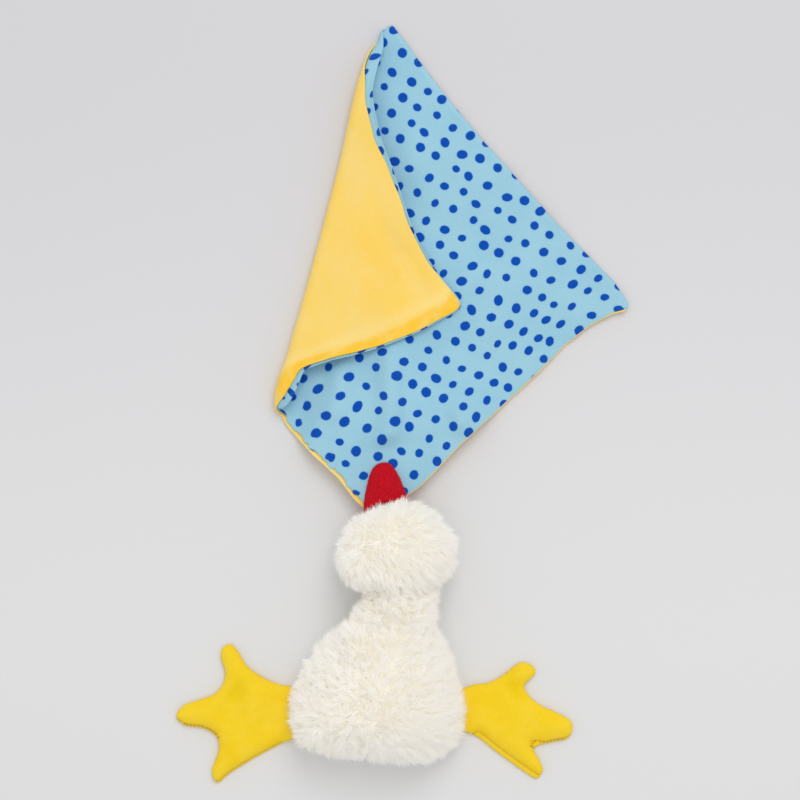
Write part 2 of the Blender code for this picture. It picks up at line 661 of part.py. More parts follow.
def cloth_outline_planes():
    """Lines that trim a flat sheet to the cloth: its sides and the facets of its corners."""
    planes = []
    count = len(cloth_edges)
    for index, (start, end) in enumerate(cloth_edges):
        run = Vector((end[0] - start[0], end[1] - start[1], 0)).normalized()
        outward = Vector((-run.y, run.x, 0))
        planes.append((Vector((start[0], start[1], 0)), outward))
        following = cloth_edges[(index + 1) % count]
        next_run = Vector((following[1][0] - following[0][0], following[1][1] - following[0][1], 0))
        next_run.normalize()
        corner = Vector((end[0], end[1], 0))
        centre = corner + (next_run - run) * CLOTH_CORNER_RADIUS
        next_outward = Vector((-next_run.y, next_run.x, 0))
        for facet in range(CORNER_FACETS):
            share = (facet + 1 / 2) / CORNER_FACETS
            direction = (outward * cos(share * pi / 2) + next_outward * sin(share * pi / 2))
            planes.append((centre + direction * CLOTH_CORNER_RADIUS, direction))
    return planes


def flat_sheet(low_across, high_across, cell_across, cell_along, extra_planes):
    """A flat grid over a band of the cloth, trimmed to its outline."""
    low_along = -OVERRUN
    high_along = CLOTH_LONG_SIDE + CLOTH_SHORT_SIDE
    columns = max(1, round((high_along - low_along) / cell_along))
    rows = max(1, round((high_across - low_across) / cell_across))
    sheet = bmesh.new()
    bmesh.ops.create_grid(sheet, x_segments=columns, y_segments=rows, size=1)
    for vertex in sheet.verts:
        along = lerp(low_along, high_along, (vertex.co.x + 1) / 2)
        across = lerp(low_across, high_across, (vertex.co.y + 1) / 2)
        vertex.co = Vector((along, across, 0))
    for point, outward in cloth_outline_planes() + extra_planes:
        everything = list(sheet.verts) + list(sheet.edges) + list(sheet.faces)
        bmesh.ops.bisect_plane(sheet, geom=everything, plane_co=point, plane_no=outward,
                               dist=GAP / 10, clear_outer=True)
    bmesh.ops.triangulate(sheet, faces=sheet.faces)
    return sheet


def hinge_plane(clearance, outward_sign):
    """The line across the flat cloth where it bends at the beak's tip."""
    from_start = HINGE + HEAD_FORWARD * clearance - FOLD_START
    point = Vector((from_start.dot(FOLD_ALONG), from_start.dot(FOLD_ACROSS), 0))
    outward = Vector((HEAD_FORWARD.dot(FOLD_ALONG), HEAD_FORWARD.dot(FOLD_ACROSS), 0))
    return point, outward * outward_sign


def cloth_layer(name, band, cells, extra_planes, side, thickness, finish):
    """One layer of a stretch of cloth: side +1 is the jersey, side -1 the velour."""
    sheet = flat_sheet(band[0], band[1], cells[0], cells[1], extra_planes)
    for vertex in sheet.verts:
        along, across = vertex.co.x, vertex.co.y
        direction = cloth_normal(along, across) * side
        vertex.co = cloth_place(along, across) + direction * GAP / 2
    if side < 0:
        bmesh.ops.reverse_faces(sheet, faces=sheet.faces)
    layer = add_object(name, sheet, finish, parts)
    step = layer.modifiers.new("thickness", "SOLIDIFY")
    step.thickness = thickness
    step.offset = 1
    return layer


def make_cloth(shared, jersey, velour):
    arc = pi * FOLD_RADIUS
    widest = CLOTH_LONG_SIDE
    beyond_hinge = hinge_plane(HINGE_CLEARANCE, -1)
    before_hinge = hinge_plane(0, 1)
    join = FOLD_MARGIN - GAP
    main_band = (FOLD_MARGIN, widest)
    fold_band = (-arc - join, join)
    flap_band = (-arc - widest, -arc - FOLD_MARGIN)
    main_cells = (SHEET_CELL, SHEET_CELL)
    flap_cells = (FLAP_CELL, SHEET_CELL)
    fold_cells = (arc / FOLD_FACETS, SHEET_CELL)
    for suffix, side, thickness, finish in (("jersey", 1, JERSEY, jersey), ("velour", -1, VELOUR, velour)):
        cloth_layer("cloth_" + suffix, main_band, main_cells, [beyond_hinge], side, thickness, finish)
        cloth_layer("fold_" + suffix, fold_band, fold_cells, [], side, thickness, finish)
        cloth_layer("flap_" + suffix, flap_band, flap_cells, [], side, thickness, finish)
        corner = cloth_layer("held_corner_" + suffix, main_band, main_cells, [before_hinge], side,
                             thickness, finish)
        cut(corner, shared["head_clear"])


clear_scene()
parts = new_collection("comfort_blanket_duck")
cutters = new_collection("cutters")
cloth_edges = cloth_outline_edges()

plush_finish = material("off_white_plush", (0.83, 0.80, 0.72), 0.95)
stuffing_finish = material("white_stuffing", (0.88, 0.88, 0.86), 1.0)
thread_finish = material("black_thread", (0.02, 0.02, 0.02), 0.6)
felt_finish = material("red_felt", (0.55, 0.005, 0.015), 0.9)
foot_finish = material("yellow_velour", (0.93, 0.62, 0.02), 0.9)
jersey_finish = material("dotted_jersey", (0.34, 0.60, 0.76), 0.85)
velour_finish = material("soft_yellow_velour", (0.95, 0.62, 0.14), 0.9)

shared_cutters = make_shared_cutters()
make_body(shared_cutters, plush_finish, stuffing_finish)
make_neck(shared_cutters, plush_finish, stuffing_finish)
make_head(shared_cutters, plush_finish, stuffing_finish)
make_eyes(shared_cutters, thread_finish)
make_beak(shared_cutters, felt_finish)
make_foot("left", (LEFT_FOOT_X, LEFT_FOOT_Y), (LEFT_FOOT_REACH, LEFT_FOOT_SPREAD),
          LEFT_FOOT_OUTLINE_SHARES, LEFT_FOOT_MIDDLE_SHARES, foot_finish, stuffing_finish)
make_foot("right", (RIGHT_FOOT_X, RIGHT_FOOT_Y), (RIGHT_FOOT_REACH, RIGHT_FOOT_SPREAD),
          RIGHT_FOOT_OUTLINE_SHARES, RIGHT_FOOT_MIDDLE_SHARES, foot_finish, stuffing_finish)
make_cloth(shared_cutters, jersey_finish, velour_finish)
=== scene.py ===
from contextlib import contextmanager
from math import cos, pi, radians, sin

import bmesh
import bpy
import numpy as np
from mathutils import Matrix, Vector
from mathutils.geometry import delaunay_2d_cdt


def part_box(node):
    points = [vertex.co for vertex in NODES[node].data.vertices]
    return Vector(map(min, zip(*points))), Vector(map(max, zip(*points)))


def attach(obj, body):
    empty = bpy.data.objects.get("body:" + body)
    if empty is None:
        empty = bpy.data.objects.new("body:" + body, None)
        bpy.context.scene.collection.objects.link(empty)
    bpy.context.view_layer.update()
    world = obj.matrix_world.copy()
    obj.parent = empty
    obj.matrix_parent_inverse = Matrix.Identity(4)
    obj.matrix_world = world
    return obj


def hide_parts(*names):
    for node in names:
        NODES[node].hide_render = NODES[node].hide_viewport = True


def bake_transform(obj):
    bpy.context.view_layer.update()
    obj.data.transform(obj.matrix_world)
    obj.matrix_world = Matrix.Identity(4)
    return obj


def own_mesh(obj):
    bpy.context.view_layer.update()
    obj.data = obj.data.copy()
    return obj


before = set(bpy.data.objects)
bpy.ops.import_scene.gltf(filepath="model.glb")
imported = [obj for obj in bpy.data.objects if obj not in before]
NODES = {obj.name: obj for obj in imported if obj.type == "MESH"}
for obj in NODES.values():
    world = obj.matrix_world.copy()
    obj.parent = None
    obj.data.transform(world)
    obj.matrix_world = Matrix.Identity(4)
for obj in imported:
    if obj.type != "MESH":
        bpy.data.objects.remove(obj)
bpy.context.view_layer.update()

SCENE = bpy.context.scene

# All sizes and places are in metres, and tones are as a screen shows them
# The neck's middle and half its length, and which way the head points
NECK = np.array((0.0192, 0.0498, 0.020))
NECK_REACH = 0.014
HEAD_TURN = radians(9.6)
HEAD_FORWARD = np.array((-sin(HEAD_TURN), cos(HEAD_TURN), 0.0))
HEAD_RIGHT = np.array((cos(HEAD_TURN), sin(HEAD_TURN), 0.0))
HEAD_ASIDE = 0.0033
# Where the cloth hangs from the beak
BEAK_HINGE = np.array((0.00044, 0.14095, 0.0))
MOUTH_HEIGHT = 0.010
UP = np.array((0.0, 0.0, 1.0))


# Nodes, written as sums
class Wire:
    """A socket's value, joined with other values by the usual operators."""

    def __init__(self, tree, socket):
        self.tree = tree
        self.socket = socket

    def math(self, operation, *values):
        step = Step(self.tree, "ShaderNodeMath", {"operation": operation}, dict(enumerate(values)))
        return step[0]

    def __add__(self, other):
        return self.math("ADD", self, other)

    def __radd__(self, other):
        return self.math("ADD", other, self)

    def __sub__(self, other):
        return self.math("SUBTRACT", self, other)

    def __rsub__(self, other):
        return self.math("SUBTRACT", other, self)

    def __mul__(self, other):
        return self.math("MULTIPLY", self, other)

    def __rmul__(self, other):
        return self.math("MULTIPLY", other, self)

    def __truediv__(self, other):
        return self.math("DIVIDE", self, other)

    def __pow__(self, other):
        return self.math("POWER", self, other)

    def wave(self):
        return self.math("SINE", self)

    def root(self):
        return self.math("SQRT", self)

    def most(self, other):
        return self.math("MAXIMUM", self, other)

    def band(self, low, high):
        """Zero at low, one at high, and smooth between."""
        settings = {"interpolation_type": "SMOOTHSTEP"}
        return Step(self.tree, "ShaderNodeMapRange", settings, {0: self, 1: low, 2: high})[0]

    def vector(self, operation, *values, out=0):
        settings = {"operation": operation}
        return Step(self.tree, "ShaderNodeVectorMath", settings, dict(enumerate((self, *values))))[out]

    def scaled(self, amount):
        return Step(self.tree, "ShaderNodeVectorMath", {"operation": "SCALE"}, {0: self, 3: amount})[0]

    def parts(self):
        step = Step(self.tree, "ShaderNodeSeparateXYZ", {}, {0: self})
        return step[0], step[1], step[2]


class Step:
    """One node: its settings first, then its sockets' values or links."""

    def __init__(self, tree, kind, settings, values):
        self.tree = tree
        self.node = tree.nodes.new(kind)
        for name, value in settings.items():
            setattr(self.node, name, value)
        for key, value in values.items():
            if isinstance(value, Wire):
                tree.links.new(value.socket, self.node.inputs[key])
            else:
                self.node.inputs[key].default_value = value

    def __getitem__(self, key):
        return Wire(self.tree, self.node.outputs[key])


class Finish:
    """A procedural material round one Principled shader."""

    def __init__(self, name, **constants):
        self.material = bpy.data.materials.new(name)
        self.material.use_nodes = True
        self.tree = self.material.node_tree
        self.shader = self.tree.nodes["Principled BSDF"]
        for key, value in constants.items():
            self.shader.inputs[key.replace("_", " ")].default_value = value
        self.place = self.step("ShaderNodeTexCoord")["Object"]

    def step(self, kind, settings=None, values=None):
        return Step(self.tree, kind, settings or {}, values or {})

    def attribute(self, name, output="Fac"):
        return self.step("ShaderNodeAttribute", {"attribute_name": name})[output]

    def noise(self, place, size, detail=2.0, out=0):
        """Soft noise whose grains are about size metres across."""
        values = {"Vector": place, "Scale": 1 / size, "Detail": detail}
        return self.step("ShaderNodeTexNoise", {}, values)[out]

    def mapped(self, place, **values):
        """The place turned by Rotation, or stretched by Scale."""
        return self.step("ShaderNodeMapping", {}, {"Vector": place, **values})[0]

    def mix(self, share, first, second):
        return self.step("ShaderNodeMix", {"data_type": "RGBA"}, {0: share, 6: first, 7: second})[2]

    def set(self, name, value):
        self.tree.links.new(value.socket, self.shader.inputs[name])

    def bump(self, height, distance, strength=1.0):
        values = {"Height": height, "Distance": distance, "Strength": strength}
        self.set("Normal", self.step("ShaderNodeBump", {}, values)["Normal"])


def paint(red, green, blue):
    """A colour as it is seen on a screen, as the linear numbers that a shader takes."""
    linear = []
    for part in (red, green, blue):
        share = part / 255
        linear.append(share / 12.92 if share <= 0.04045 else ((share + 0.055) / 1.055) ** 2.4)
    return (*linear, 1.0)


# Finishes
DOT_PITCH = 0.0117
DOT_RADIUS = 0.0023
DOT_SPREAD = 0.0008
DOT_WOBBLE = 0.0005
DOT_BLUR = (-0.00022, 0.0003)
DOT_BLEED = (-0.0011, 0.0001)
STITCH_PITCH = 0.0008
NAP_GRAIN = 0.0007
NAP_DEPTH = 0.0004
FELT_FIBRE = 0.0007
FELT_BEND = 0.004


def plush_finish():
    """Off-white pile: a little warmer and darker towards its roots."""
    made = Finish("off_white_pile", Roughness=0.85, Specular_IOR_Level=0.15)
    along = made.attribute("along")
    tone = made.attribute("tone")
    drift = made.noise(made.place, 0.018).band(0.35, 0.65)
    light = made.mix(drift, paint(254.7, 254.2, 252.6), paint(254.6, 253.8, 251.4))
    light = made.mix(tone * 0.5, light, paint(254.2, 253.2, 250.4))
    deep = paint(254.2, 253.0, 249.5)
    colour = made.mix(along.band(0.0, 0.55), deep, light)
    made.set("Base Color", colour)
    return made.material


def backing_finish():
    made = Finish("knitted_backing", Roughness=0.95, Specular_IOR_Level=0.1)
    grain = made.noise(made.place, 0.0011, 3.0)
    made.set("Base Color", made.mix(grain.band(0.3, 0.7), paint(244, 238, 224), paint(252, 249, 240)))
    made.bump(grain, 0.0004)
    return made.material


def knit_height(made, flat, pitch):
    """Small columns of stitches, for a jersey's face."""
    x, y, _ = flat.parts()
    row_pitch = pitch * 0.8
    column = (x * (2 * pi / pitch)).wave()
    row = (y * (2 * pi / row_pitch) + column * 1.4).wave()
    return column * 0.5 + row * 0.5


def jersey_finish():
    """Light blue cotton jersey with uneven dark blue dots."""
    made = Finish("dotted_jersey", Roughness=0.88, Specular_IOR_Level=0.12, Sheen_Weight=0.1,
                  Sheen_Roughness=0.5)
    flat = made.attribute("flat", "Vector")
    turned = made.mapped(flat, Rotation=(0, 0, 0.42))
    cell = made.step("ShaderNodeTexVoronoi", {"voronoi_dimensions": "2D"},
                     {"Vector": turned, "Scale": 1 / DOT_PITCH, "Randomness": 0.31})
    away = turned.vector("SUBTRACT", cell["Position"])
    dx, dy, _ = away.parts()
    random_turn, random_aspect, random_size = cell["Color"].parts()
    angle = random_turn * (2 * pi)
    cosine = angle.math("COSINE", angle)
    sine = angle.wave()
    aspect = random_aspect * 0.16 + 0.98
    across = (dx * cosine + dy * sine) / aspect
    upward = (dy * cosine - dx * sine) * aspect
    wobble = made.noise(flat, 0.0016, 1.0) * DOT_WOBBLE - DOT_WOBBLE / 2
    reach = (across * across + upward * upward).root() + wobble
    radius = random_size * DOT_SPREAD + DOT_RADIUS
    dot = (radius - reach).band(*DOT_BLUR)
    halo = (radius - reach).band(*DOT_BLEED)

    worn = made.noise(flat, 0.00075, 2.0).band(0.62, 0.8)
    border = made.attribute("border")
    worn_share = worn * (0.08 + border * 0.8)
    patch = made.noise(flat, 0.03, 2.0).band(0.3, 0.7)
    fibre = made.noise(flat, 0.0009, 3.0).band(0.3, 0.75)
    ground = made.mix(patch, paint(148, 199, 220), paint(156, 205, 223))
    ground = made.mix(fibre * 0.4, ground, paint(176, 215, 231))
    ground = made.mix(halo * 0.34, ground, paint(110, 172, 222))
    ink = made.mix(fibre, paint(0, 72, 172), paint(0, 82, 186))
    ink = made.mix(worn_share, ink, paint(146, 194, 226))
    made.set("Base Color", made.mix(dot, ground, ink))
    height = knit_height(made, flat, STITCH_PITCH) * 0.5 + made.noise(flat, 0.0006, 3.0)
    made.bump(height, 0.00012, 0.7)
    return made.material


def cloth_velour_finish():
    """Warm yellow velour with patches and grain in its nap. Painted shade deepens it in the flap's
    turned-down band and its hollow, and a painted highlight pales it on the ridge above that band and along
    the lying cloth's edges.
    """
    made = Finish("soft_yellow_velour", Roughness=0.9, Specular_IOR_Level=0.15, Sheen_Weight=0.4,
                  Sheen_Roughness=0.55, Sheen_Tint=paint(255, 236, 178))
    flat = made.attribute("flat", "Vector")
    brushed = made.mapped(flat, Scale=(1.0, 0.45, 1.0))
    stroke = made.noise(brushed, 0.026, 2.0).band(0.32, 0.68)
    grain = made.noise(flat, 0.0008, 3.0).band(0.25, 0.75)
    deep = made.attribute("deep")
    colour = made.mix(stroke, paint(251, 219, 131), paint(254, 216, 106))
    # Painted highlight: paler on the flap's ridge above the turned-down band and along the lying cloth's
    # velour edges
    colour = made.mix(made.attribute("painted_highlight") * 0.6, colour, paint(255, 228, 150))
    mottle = made.noise(flat, 0.009, 2.0).band(0.28, 0.62) * 0.65 + 0.35
    # Painted shade: the deep attribute darkens the flap's turned-down band and its hollow, in blotches
    colour = made.mix(deep * mottle, colour, paint(255, 200, 44))
    colour = made.mix(grain * 0.3, colour, paint(252, 210, 92))
    made.set("Base Color", colour)
    made.bump(made.noise(flat, NAP_GRAIN, 4.0), NAP_DEPTH, 0.8)
    return made.material


def foot_velour_finish():
    made = Finish("clear_yellow_velour", Roughness=0.88, Specular_IOR_Level=0.15, Sheen_Weight=0.35,
                  Sheen_Roughness=0.5, Sheen_Tint=paint(255, 240, 170))
    patch = made.noise(made.place, 0.013, 2.0).band(0.3, 0.7)
    grain = made.noise(made.place, 0.0007, 3.0).band(0.3, 0.75)
    seam = made.attribute("seam")
    colour = made.mix(patch, paint(250, 212, 30), paint(252, 218, 52))
    colour = made.mix(grain * 0.35, colour, paint(244, 200, 16))
    # Painted shade: the foot's top is darker in its hollow
    colour = made.mix(made.attribute("painted_hollow_shade") * 0.7, colour, paint(240, 206, 8))
    colour = made.mix(seam * 0.7, colour, paint(206, 162, 0))
    made.set("Base Color", colour)
    made.bump(made.noise(made.place, NAP_GRAIN, 4.0), NAP_DEPTH, 0.8)
    return made.material


def felt_finish():
    """Red felt: matted fibres in two tones."""
    made = Finish("red_felt", Roughness=0.92, Specular_IOR_Level=0.2, Sheen_Weight=0.2,
                  Sheen_Tint=paint(255, 90, 100))
    bent = made.place.vector("ADD", made.noise(made.place, FELT_BEND, 2.0, out=1).scaled(FELT_BEND))
    one_way = made.mapped(bent, Rotation=(0.4, 0.3, 0.9), Scale=(1.0, 0.45, 1.0))
    other_way = made.mapped(bent, Rotation=(0.2, 0.8, -0.7), Scale=(1.0, 0.4, 1.0))
    first = made.noise(one_way, FELT_FIBRE, 3.0)
    matted = first.most(made.noise(other_way, FELT_FIBRE, 3.0))
    colour = made.mix(matted.band(0.42, 0.68), paint(182, 3, 24), paint(212, 13, 36))
    colour = made.mix(first.band(0.66, 0.78) * 0.4, colour, paint(236, 76, 90))
    made.set("Base Color", colour)
    made.bump(matted, 0.0006, 0.9)
    return made.material


def thread_finish(name, light, dark):
    made = Finish(name, Roughness=0.5, Specular_IOR_Level=0.4)
    twist = made.noise(made.place, 0.0005, 2.0).band(0.35, 0.65)
    made.set("Base Color", made.mix(twist, dark, light))
    made.bump(twist, 0.0001, 0.6)
    return made.material


def floor_finish():
    made = Finish("pale_table", Roughness=0.9, Specular_IOR_Level=0.1)
    _, upward, _ = made.place.parts()
    # Painted shade: the table is darker towards the top of the view, where less light falls on it
    made.set("Base Color", made.mix(upward.band(0.0, 0.42), paint(226, 226, 227), paint(212, 211, 214)))
    return made.material


PLUSH = plush_finish()
BACKING = backing_finish()
JERSEY = jersey_finish()
CLOTH_VELOUR = cloth_velour_finish()
FOOT_VELOUR = foot_velour_finish()
FELT = felt_finish()
EYE_THREAD = thread_finish("black_thread", paint(44, 42, 44), paint(14, 13, 14))
SEAM_THREAD = thread_finish("yellow_thread", paint(212, 170, 10), paint(168, 128, 0))


# Meshes
MERGE = 0.00001
TINY = 1e-9


def ease(share):
    share = np.clip(share, 0, 1)
    return share * share * (3 - 2 * share)


def ramp(value, start, reach):
    """Zero up to the start, and one from a reach further on, with a smooth rise between."""
    return ease((value - start) / reach)


def bell(distance, reach):
    """One at no distance, falling off smoothly over the reach."""
    return np.exp(-(distance / reach) ** 2)


def round_edge(depth, reach):
    """A quarter circle's height, as a share, at a depth inside an edge that is round over the reach."""
    return np.sqrt(np.clip(1 - (1 - np.clip(depth / reach, 0, 1)) ** 2, 0, 1))


def linked(name, data):
    item = bpy.data.objects.new(name, data)
    SCENE.collection.objects.link(item)
    return item


def new_object(name, points, faces, finish=None):
    mesh = bpy.data.meshes.new(name)
    mesh.from_pydata([tuple(point) for point in points], [], [tuple(face) for face in faces])
    mesh.update()
    mesh.shade_smooth()
    if finish is not None:
        mesh.materials.append(finish)
    return linked(name, mesh)


@contextmanager
def opened(mesh):
    """The mesh as a bmesh for editing, which is written back at the end."""
    shape = bmesh.new()
    shape.from_mesh(mesh)
    yield shape
    shape.to_mesh(mesh)
    shape.free()


def face_outwards(piece):
    with opened(piece.data) as shape:
        bmesh.ops.recalc_face_normals(shape, faces=shape.faces)
    piece.data.shade_smooth()


def points_of(mesh):
    found = np.empty(len(mesh.vertices) * 3)
    mesh.vertices.foreach_get("co", found)
    return found.reshape(-1, 3)


def set_points(mesh, points):
    mesh.vertices.foreach_set("co", np.asarray(points, float).ravel())
    mesh.update()


def normals_of(mesh):
    found = np.empty(len(mesh.vertices) * 3, np.float32)
    mesh.vertex_normals.foreach_get("vector", found)
    return found.reshape(-1, 3).astype(float)


def store(mesh, name, values):
    values = np.asarray(values, np.float32)
    kind = "FLOAT" if values.ndim == 1 else "FLOAT_VECTOR"
    attribute = mesh.attributes.new(name, kind, "POINT")
    attribute.data.foreach_set("value" if values.ndim == 1 else "vector", values.ravel())


def evaluated_copy(item, name):
    """The object's mesh with its modifiers done, as a new plain object."""
    bpy.context.view_layer.update()
    graph = bpy.context.evaluated_depsgraph_get()
    mesh = bpy.data.meshes.new_from_object(item.evaluated_get(graph))
    mesh.name = name
    return linked(name, mesh)


def remove(item):
    bpy.data.objects.remove(item, do_unlink=True)


def dress(piece, finish):
    piece.data.materials.clear()
    piece.data.materials.append(finish)


def smoothed(item, name, factor, rounds):
    """The object after some rounds of smoothing, in its own place."""
    smooth = item.modifiers.new("smooth", "SMOOTH")
    smooth.factor = factor
    smooth.iterations = rounds
    made = evaluated_copy(item, name)
    remove(item)
    return made


def softened(node_names, name, cell, rounds):
    """CAD nodes joined in one form with round edges, as a new object."""
    joined = bmesh.new()
    for node in node_names:
        joined.from_mesh(NODES[node].data)
    bmesh.ops.remove_doubles(joined, verts=joined.verts, dist=MERGE)
    mesh = bpy.data.meshes.new(name)
    joined.to_mesh(mesh)
    joined.free()
    rough = linked(name + "_rough", mesh)
    remesh = rough.modifiers.new("remesh", "REMESH")
    remesh.mode = "VOXEL"
    remesh.voxel_size = cell
    return smoothed(rough, name, 0.6, rounds)


def ripples(x, y, size, seed):
    """Slow waves between about -1 and 1, of about size metres, the same at each run."""
    chance = np.random.RandomState(seed)
    total = np.zeros_like(x)
    for _ in range(6):
        angle = chance.uniform(0, 2 * pi)
        pitch = size * chance.uniform(0.75, 1.5)
        phase = chance.uniform(0, 2 * pi)
        total = total + np.sin((x * cos(angle) + y * sin(angle)) * 2 * pi / pitch + phase)
    return total / 3.2


# Pile
SWIRL_SCALE = 95.0
SWIRL_SHARE = 1.5
LOCK_TURN_SHARE = 1.3
LOCK_CURVE = 1.3
KINK_SCALE = 420.0
KINK_DRIFT = 0.004
KINK_SHARE = 0.34
TAPER_SHARE = 0.85


def pile_tree():
    """Strands that grow on a mesh: combed, gathered in locks, and bent a little at random."""
    tree = bpy.data.node_groups.new("pile", "GeometryNodeTree")
    face = tree.interface
    face.new_socket("Backing", in_out="INPUT", socket_type="NodeSocketGeometry")
    for name, kind in (("Density", "Float"), ("Length", "Float"), ("Thickness", "Float"),
                       ("Lock Size", "Float"), ("Lock Strength", "Float"), ("Lean", "Float"),
                       ("Disorder", "Float"), ("Lowest", "Float"), ("Bends", "Int"), ("Seed", "Int"),
                       ("Finish", "Material")):
        face.new_socket(name, in_out="INPUT", socket_type="NodeSocket" + kind)
    face.new_socket("Strands", in_out="OUTPUT", socket_type="NodeSocketGeometry")
    given = Step(tree, "NodeGroupInput", {}, {})
    result = Step(tree, "NodeGroupOutput", {}, {})

    def step(kind, settings=None, values=None):
        return Step(tree, kind, settings or {}, values or {})

    def keep(geometry, name, value, kind="FLOAT_VECTOR"):
        return step("GeometryNodeStoreNamedAttribute", {"data_type": kind, "domain": "POINT"},
                    {"Geometry": geometry, "Name": name, "Value": value})["Geometry"]

    def recall(name, kind="FLOAT_VECTOR"):
        return step("GeometryNodeInputNamedAttribute", {"data_type": kind}, {"Name": name})["Attribute"]

    def centred(colour):
        return colour.vector("SUBTRACT", (0.5, 0.5, 0.5))

    scatter = step("GeometryNodeDistributePointsOnFaces", {"distribute_method": "RANDOM"},
                   {"Mesh": given["Backing"], "Density": given["Density"], "Seed": given["Seed"]})
    roots = keep(scatter["Points"], "root", step("GeometryNodeInputPosition")["Position"])
    roots = keep(roots, "outward", scatter["Normal"])
    line = step("GeometryNodeCurvePrimitiveLine", {"mode": "POINTS"}, {"Start": (0, 0, 0), "End": (0, 0, 1)})
    bends = step("GeometryNodeResampleCurve", {"mode": "COUNT"},
                 {"Curve": line["Curve"], "Count": given["Bends"]})
    copies = step("GeometryNodeInstanceOnPoints", {}, {"Points": roots, "Instance": bends["Curve"]})
    strands = step("GeometryNodeRealizeInstances", {}, {"Geometry": copies["Instances"]})["Geometry"]

    along = step("GeometryNodeSplineParameter")["Factor"]
    root = recall("root")
    outward = recall("outward")
    comb = recall("comb")
    trim = recall("trim", "FLOAT")
    chance = step("ShaderNodeTexWhiteNoise", {"noise_dimensions": "3D"}, {"Vector": root.scaled(9000.0)})
    swirl = step("ShaderNodeTexNoise", {}, {"Vector": root, "Scale": SWIRL_SCALE, "Detail": 1.0})
    drifted = root.vector("ADD", outward.scaled(along * KINK_DRIFT))
    kink = step("ShaderNodeTexNoise", {}, {"Vector": drifted, "Scale": KINK_SCALE, "Detail": 1.0})
    lock = step("ShaderNodeTexVoronoi", {"voronoi_dimensions": "3D"},
                {"Vector": root, "Scale": given["Lock Size"].math("DIVIDE", 1.0, given["Lock Size"])})
    to_lock = lock["Position"].vector("SUBTRACT", root)
    lock_turn = step("ShaderNodeTexWhiteNoise", {"noise_dimensions": "3D"},
                     {"Vector": lock["Position"].scaled(7000.0)})

    lying = comb.vector("ADD", centred(swirl["Color"]).scaled(SWIRL_SHARE))
    lying = lying.vector("ADD", centred(lock_turn["Color"]).scaled(LOCK_TURN_SHARE))
    lying = lying.scaled(given["Lean"])
    lying = lying.vector("ADD", centred(chance["Color"]).scaled(given["Disorder"]))
    standing = outward.vector("ADD", lying.scaled(along * 0.75 + 0.25)).vector("NORMALIZE")
    size = given["Length"] * trim * (chance["Value"] * 0.45 + 0.7)
    place = root.vector("ADD", standing.scaled(size * along))
    place = place.vector("ADD", to_lock.scaled(given["Lock Strength"] * along ** LOCK_CURVE))
    place = place.vector("ADD", centred(kink["Color"]).scaled(size * along * KINK_SHARE))
    x, y, z = place.parts()
    raised = step("ShaderNodeCombineXYZ", {}, {0: x, 1: y, 2: z.most(given["Lowest"])})[0]
    strands = step("GeometryNodeSetPosition", {}, {"Geometry": strands, "Position": raised})["Geometry"]
    strands = keep(strands, "along", along, "FLOAT")
    strands = keep(strands, "tone", chance["Value"], "FLOAT")
    width = given["Thickness"] * (1.0 - along ** 2.0 * TAPER_SHARE)
    ring = step("GeometryNodeCurvePrimitiveCircle", {"mode": "RADIUS"}, {"Resolution": 3, "Radius": 1.0})
    tubes = step("GeometryNodeCurveToMesh", {}, {"Curve": strands, "Profile Curve": ring["Curve"],
                                                 "Scale": width, "Fill Caps": True})["Mesh"]
    tubes = step("GeometryNodeSetShadeSmooth", {}, {"Geometry": tubes, "Shade Smooth": False})["Geometry"]
    for name in ("root", "outward", "comb", "trim"):
        tubes = step("GeometryNodeRemoveAttribute", {}, {"Geometry": tubes, "Name": name})["Geometry"]
    whole = step("GeometryNodeRealizeInstances", {}, {"Geometry": tubes})["Geometry"]
    dressed = step("GeometryNodeSetMaterial", {}, {"Geometry": whole, "Material": given["Finish"]})
    tree.links.new(dressed["Geometry"].socket, result.node.inputs["Strands"])
    return tree


PILE = pile_tree()


def grow(backing, name, **sizes):
    """The strands that grow on a backing, as one plain mesh object."""
    modifier = backing.modifiers.new("pile", "NODES")
    modifier.node_group = PILE
    sockets = {item.name: item.identifier for item in PILE.interface.items_tree
               if getattr(item, "in_out", "") == "INPUT"}
    for key, value in sizes.items():
        modifier[sockets[key.replace("_", " ")]] = value
    made = evaluated_copy(backing, name)
    backing.modifiers.remove(modifier)
    return made


# The duck's plush
SKIN_CELL = 0.0024
SKIN_DEPTH = 0.0043
SKIN_LOWEST = 0.0012
# Where the neck's creases come out at the sides, and how far each draws the skin in
NECK_NOTCHES = ((np.array((-0.0128, 0.0586, 0.020)), 0.0066), (np.array((0.0375, 0.0524, 0.020)), 0.0088))
NOTCH_REACH = 0.0064
# The crease between the head and the neck, on the left of the back
CREASE_START = np.array((-0.0110, 0.0575))
CREASE_TURN = radians(28)
CREASE_RUN = np.array((cos(CREASE_TURN), sin(CREASE_TURN)))
CREASE_ACROSS = np.array((sin(CREASE_TURN), -cos(CREASE_TURN)))
CREASE_DEPTH = 0.0085
CREASE_HALF_WIDTH = 0.0040
# The back fills the neck's hollow: its middle and reach along x and y, and the rise as a share
SADDLE_MIDDLE = (0.0140, 0.0530)
SADDLE_REACH = (0.026, 0.0115)
SADDLE_SHARE = 0.22
# And a ridge across the shoulders: its y, reach and height
SHOULDER_Y = 0.0425
SHOULDER_REACH = 0.0080
SHOULDER_RISE = 0.0050
# Where the body's trim ends and the head's begins, and the length along y over which each fades
BODY_END = 0.044
HEAD_START = 0.056
HEAD_FADE = 0.014
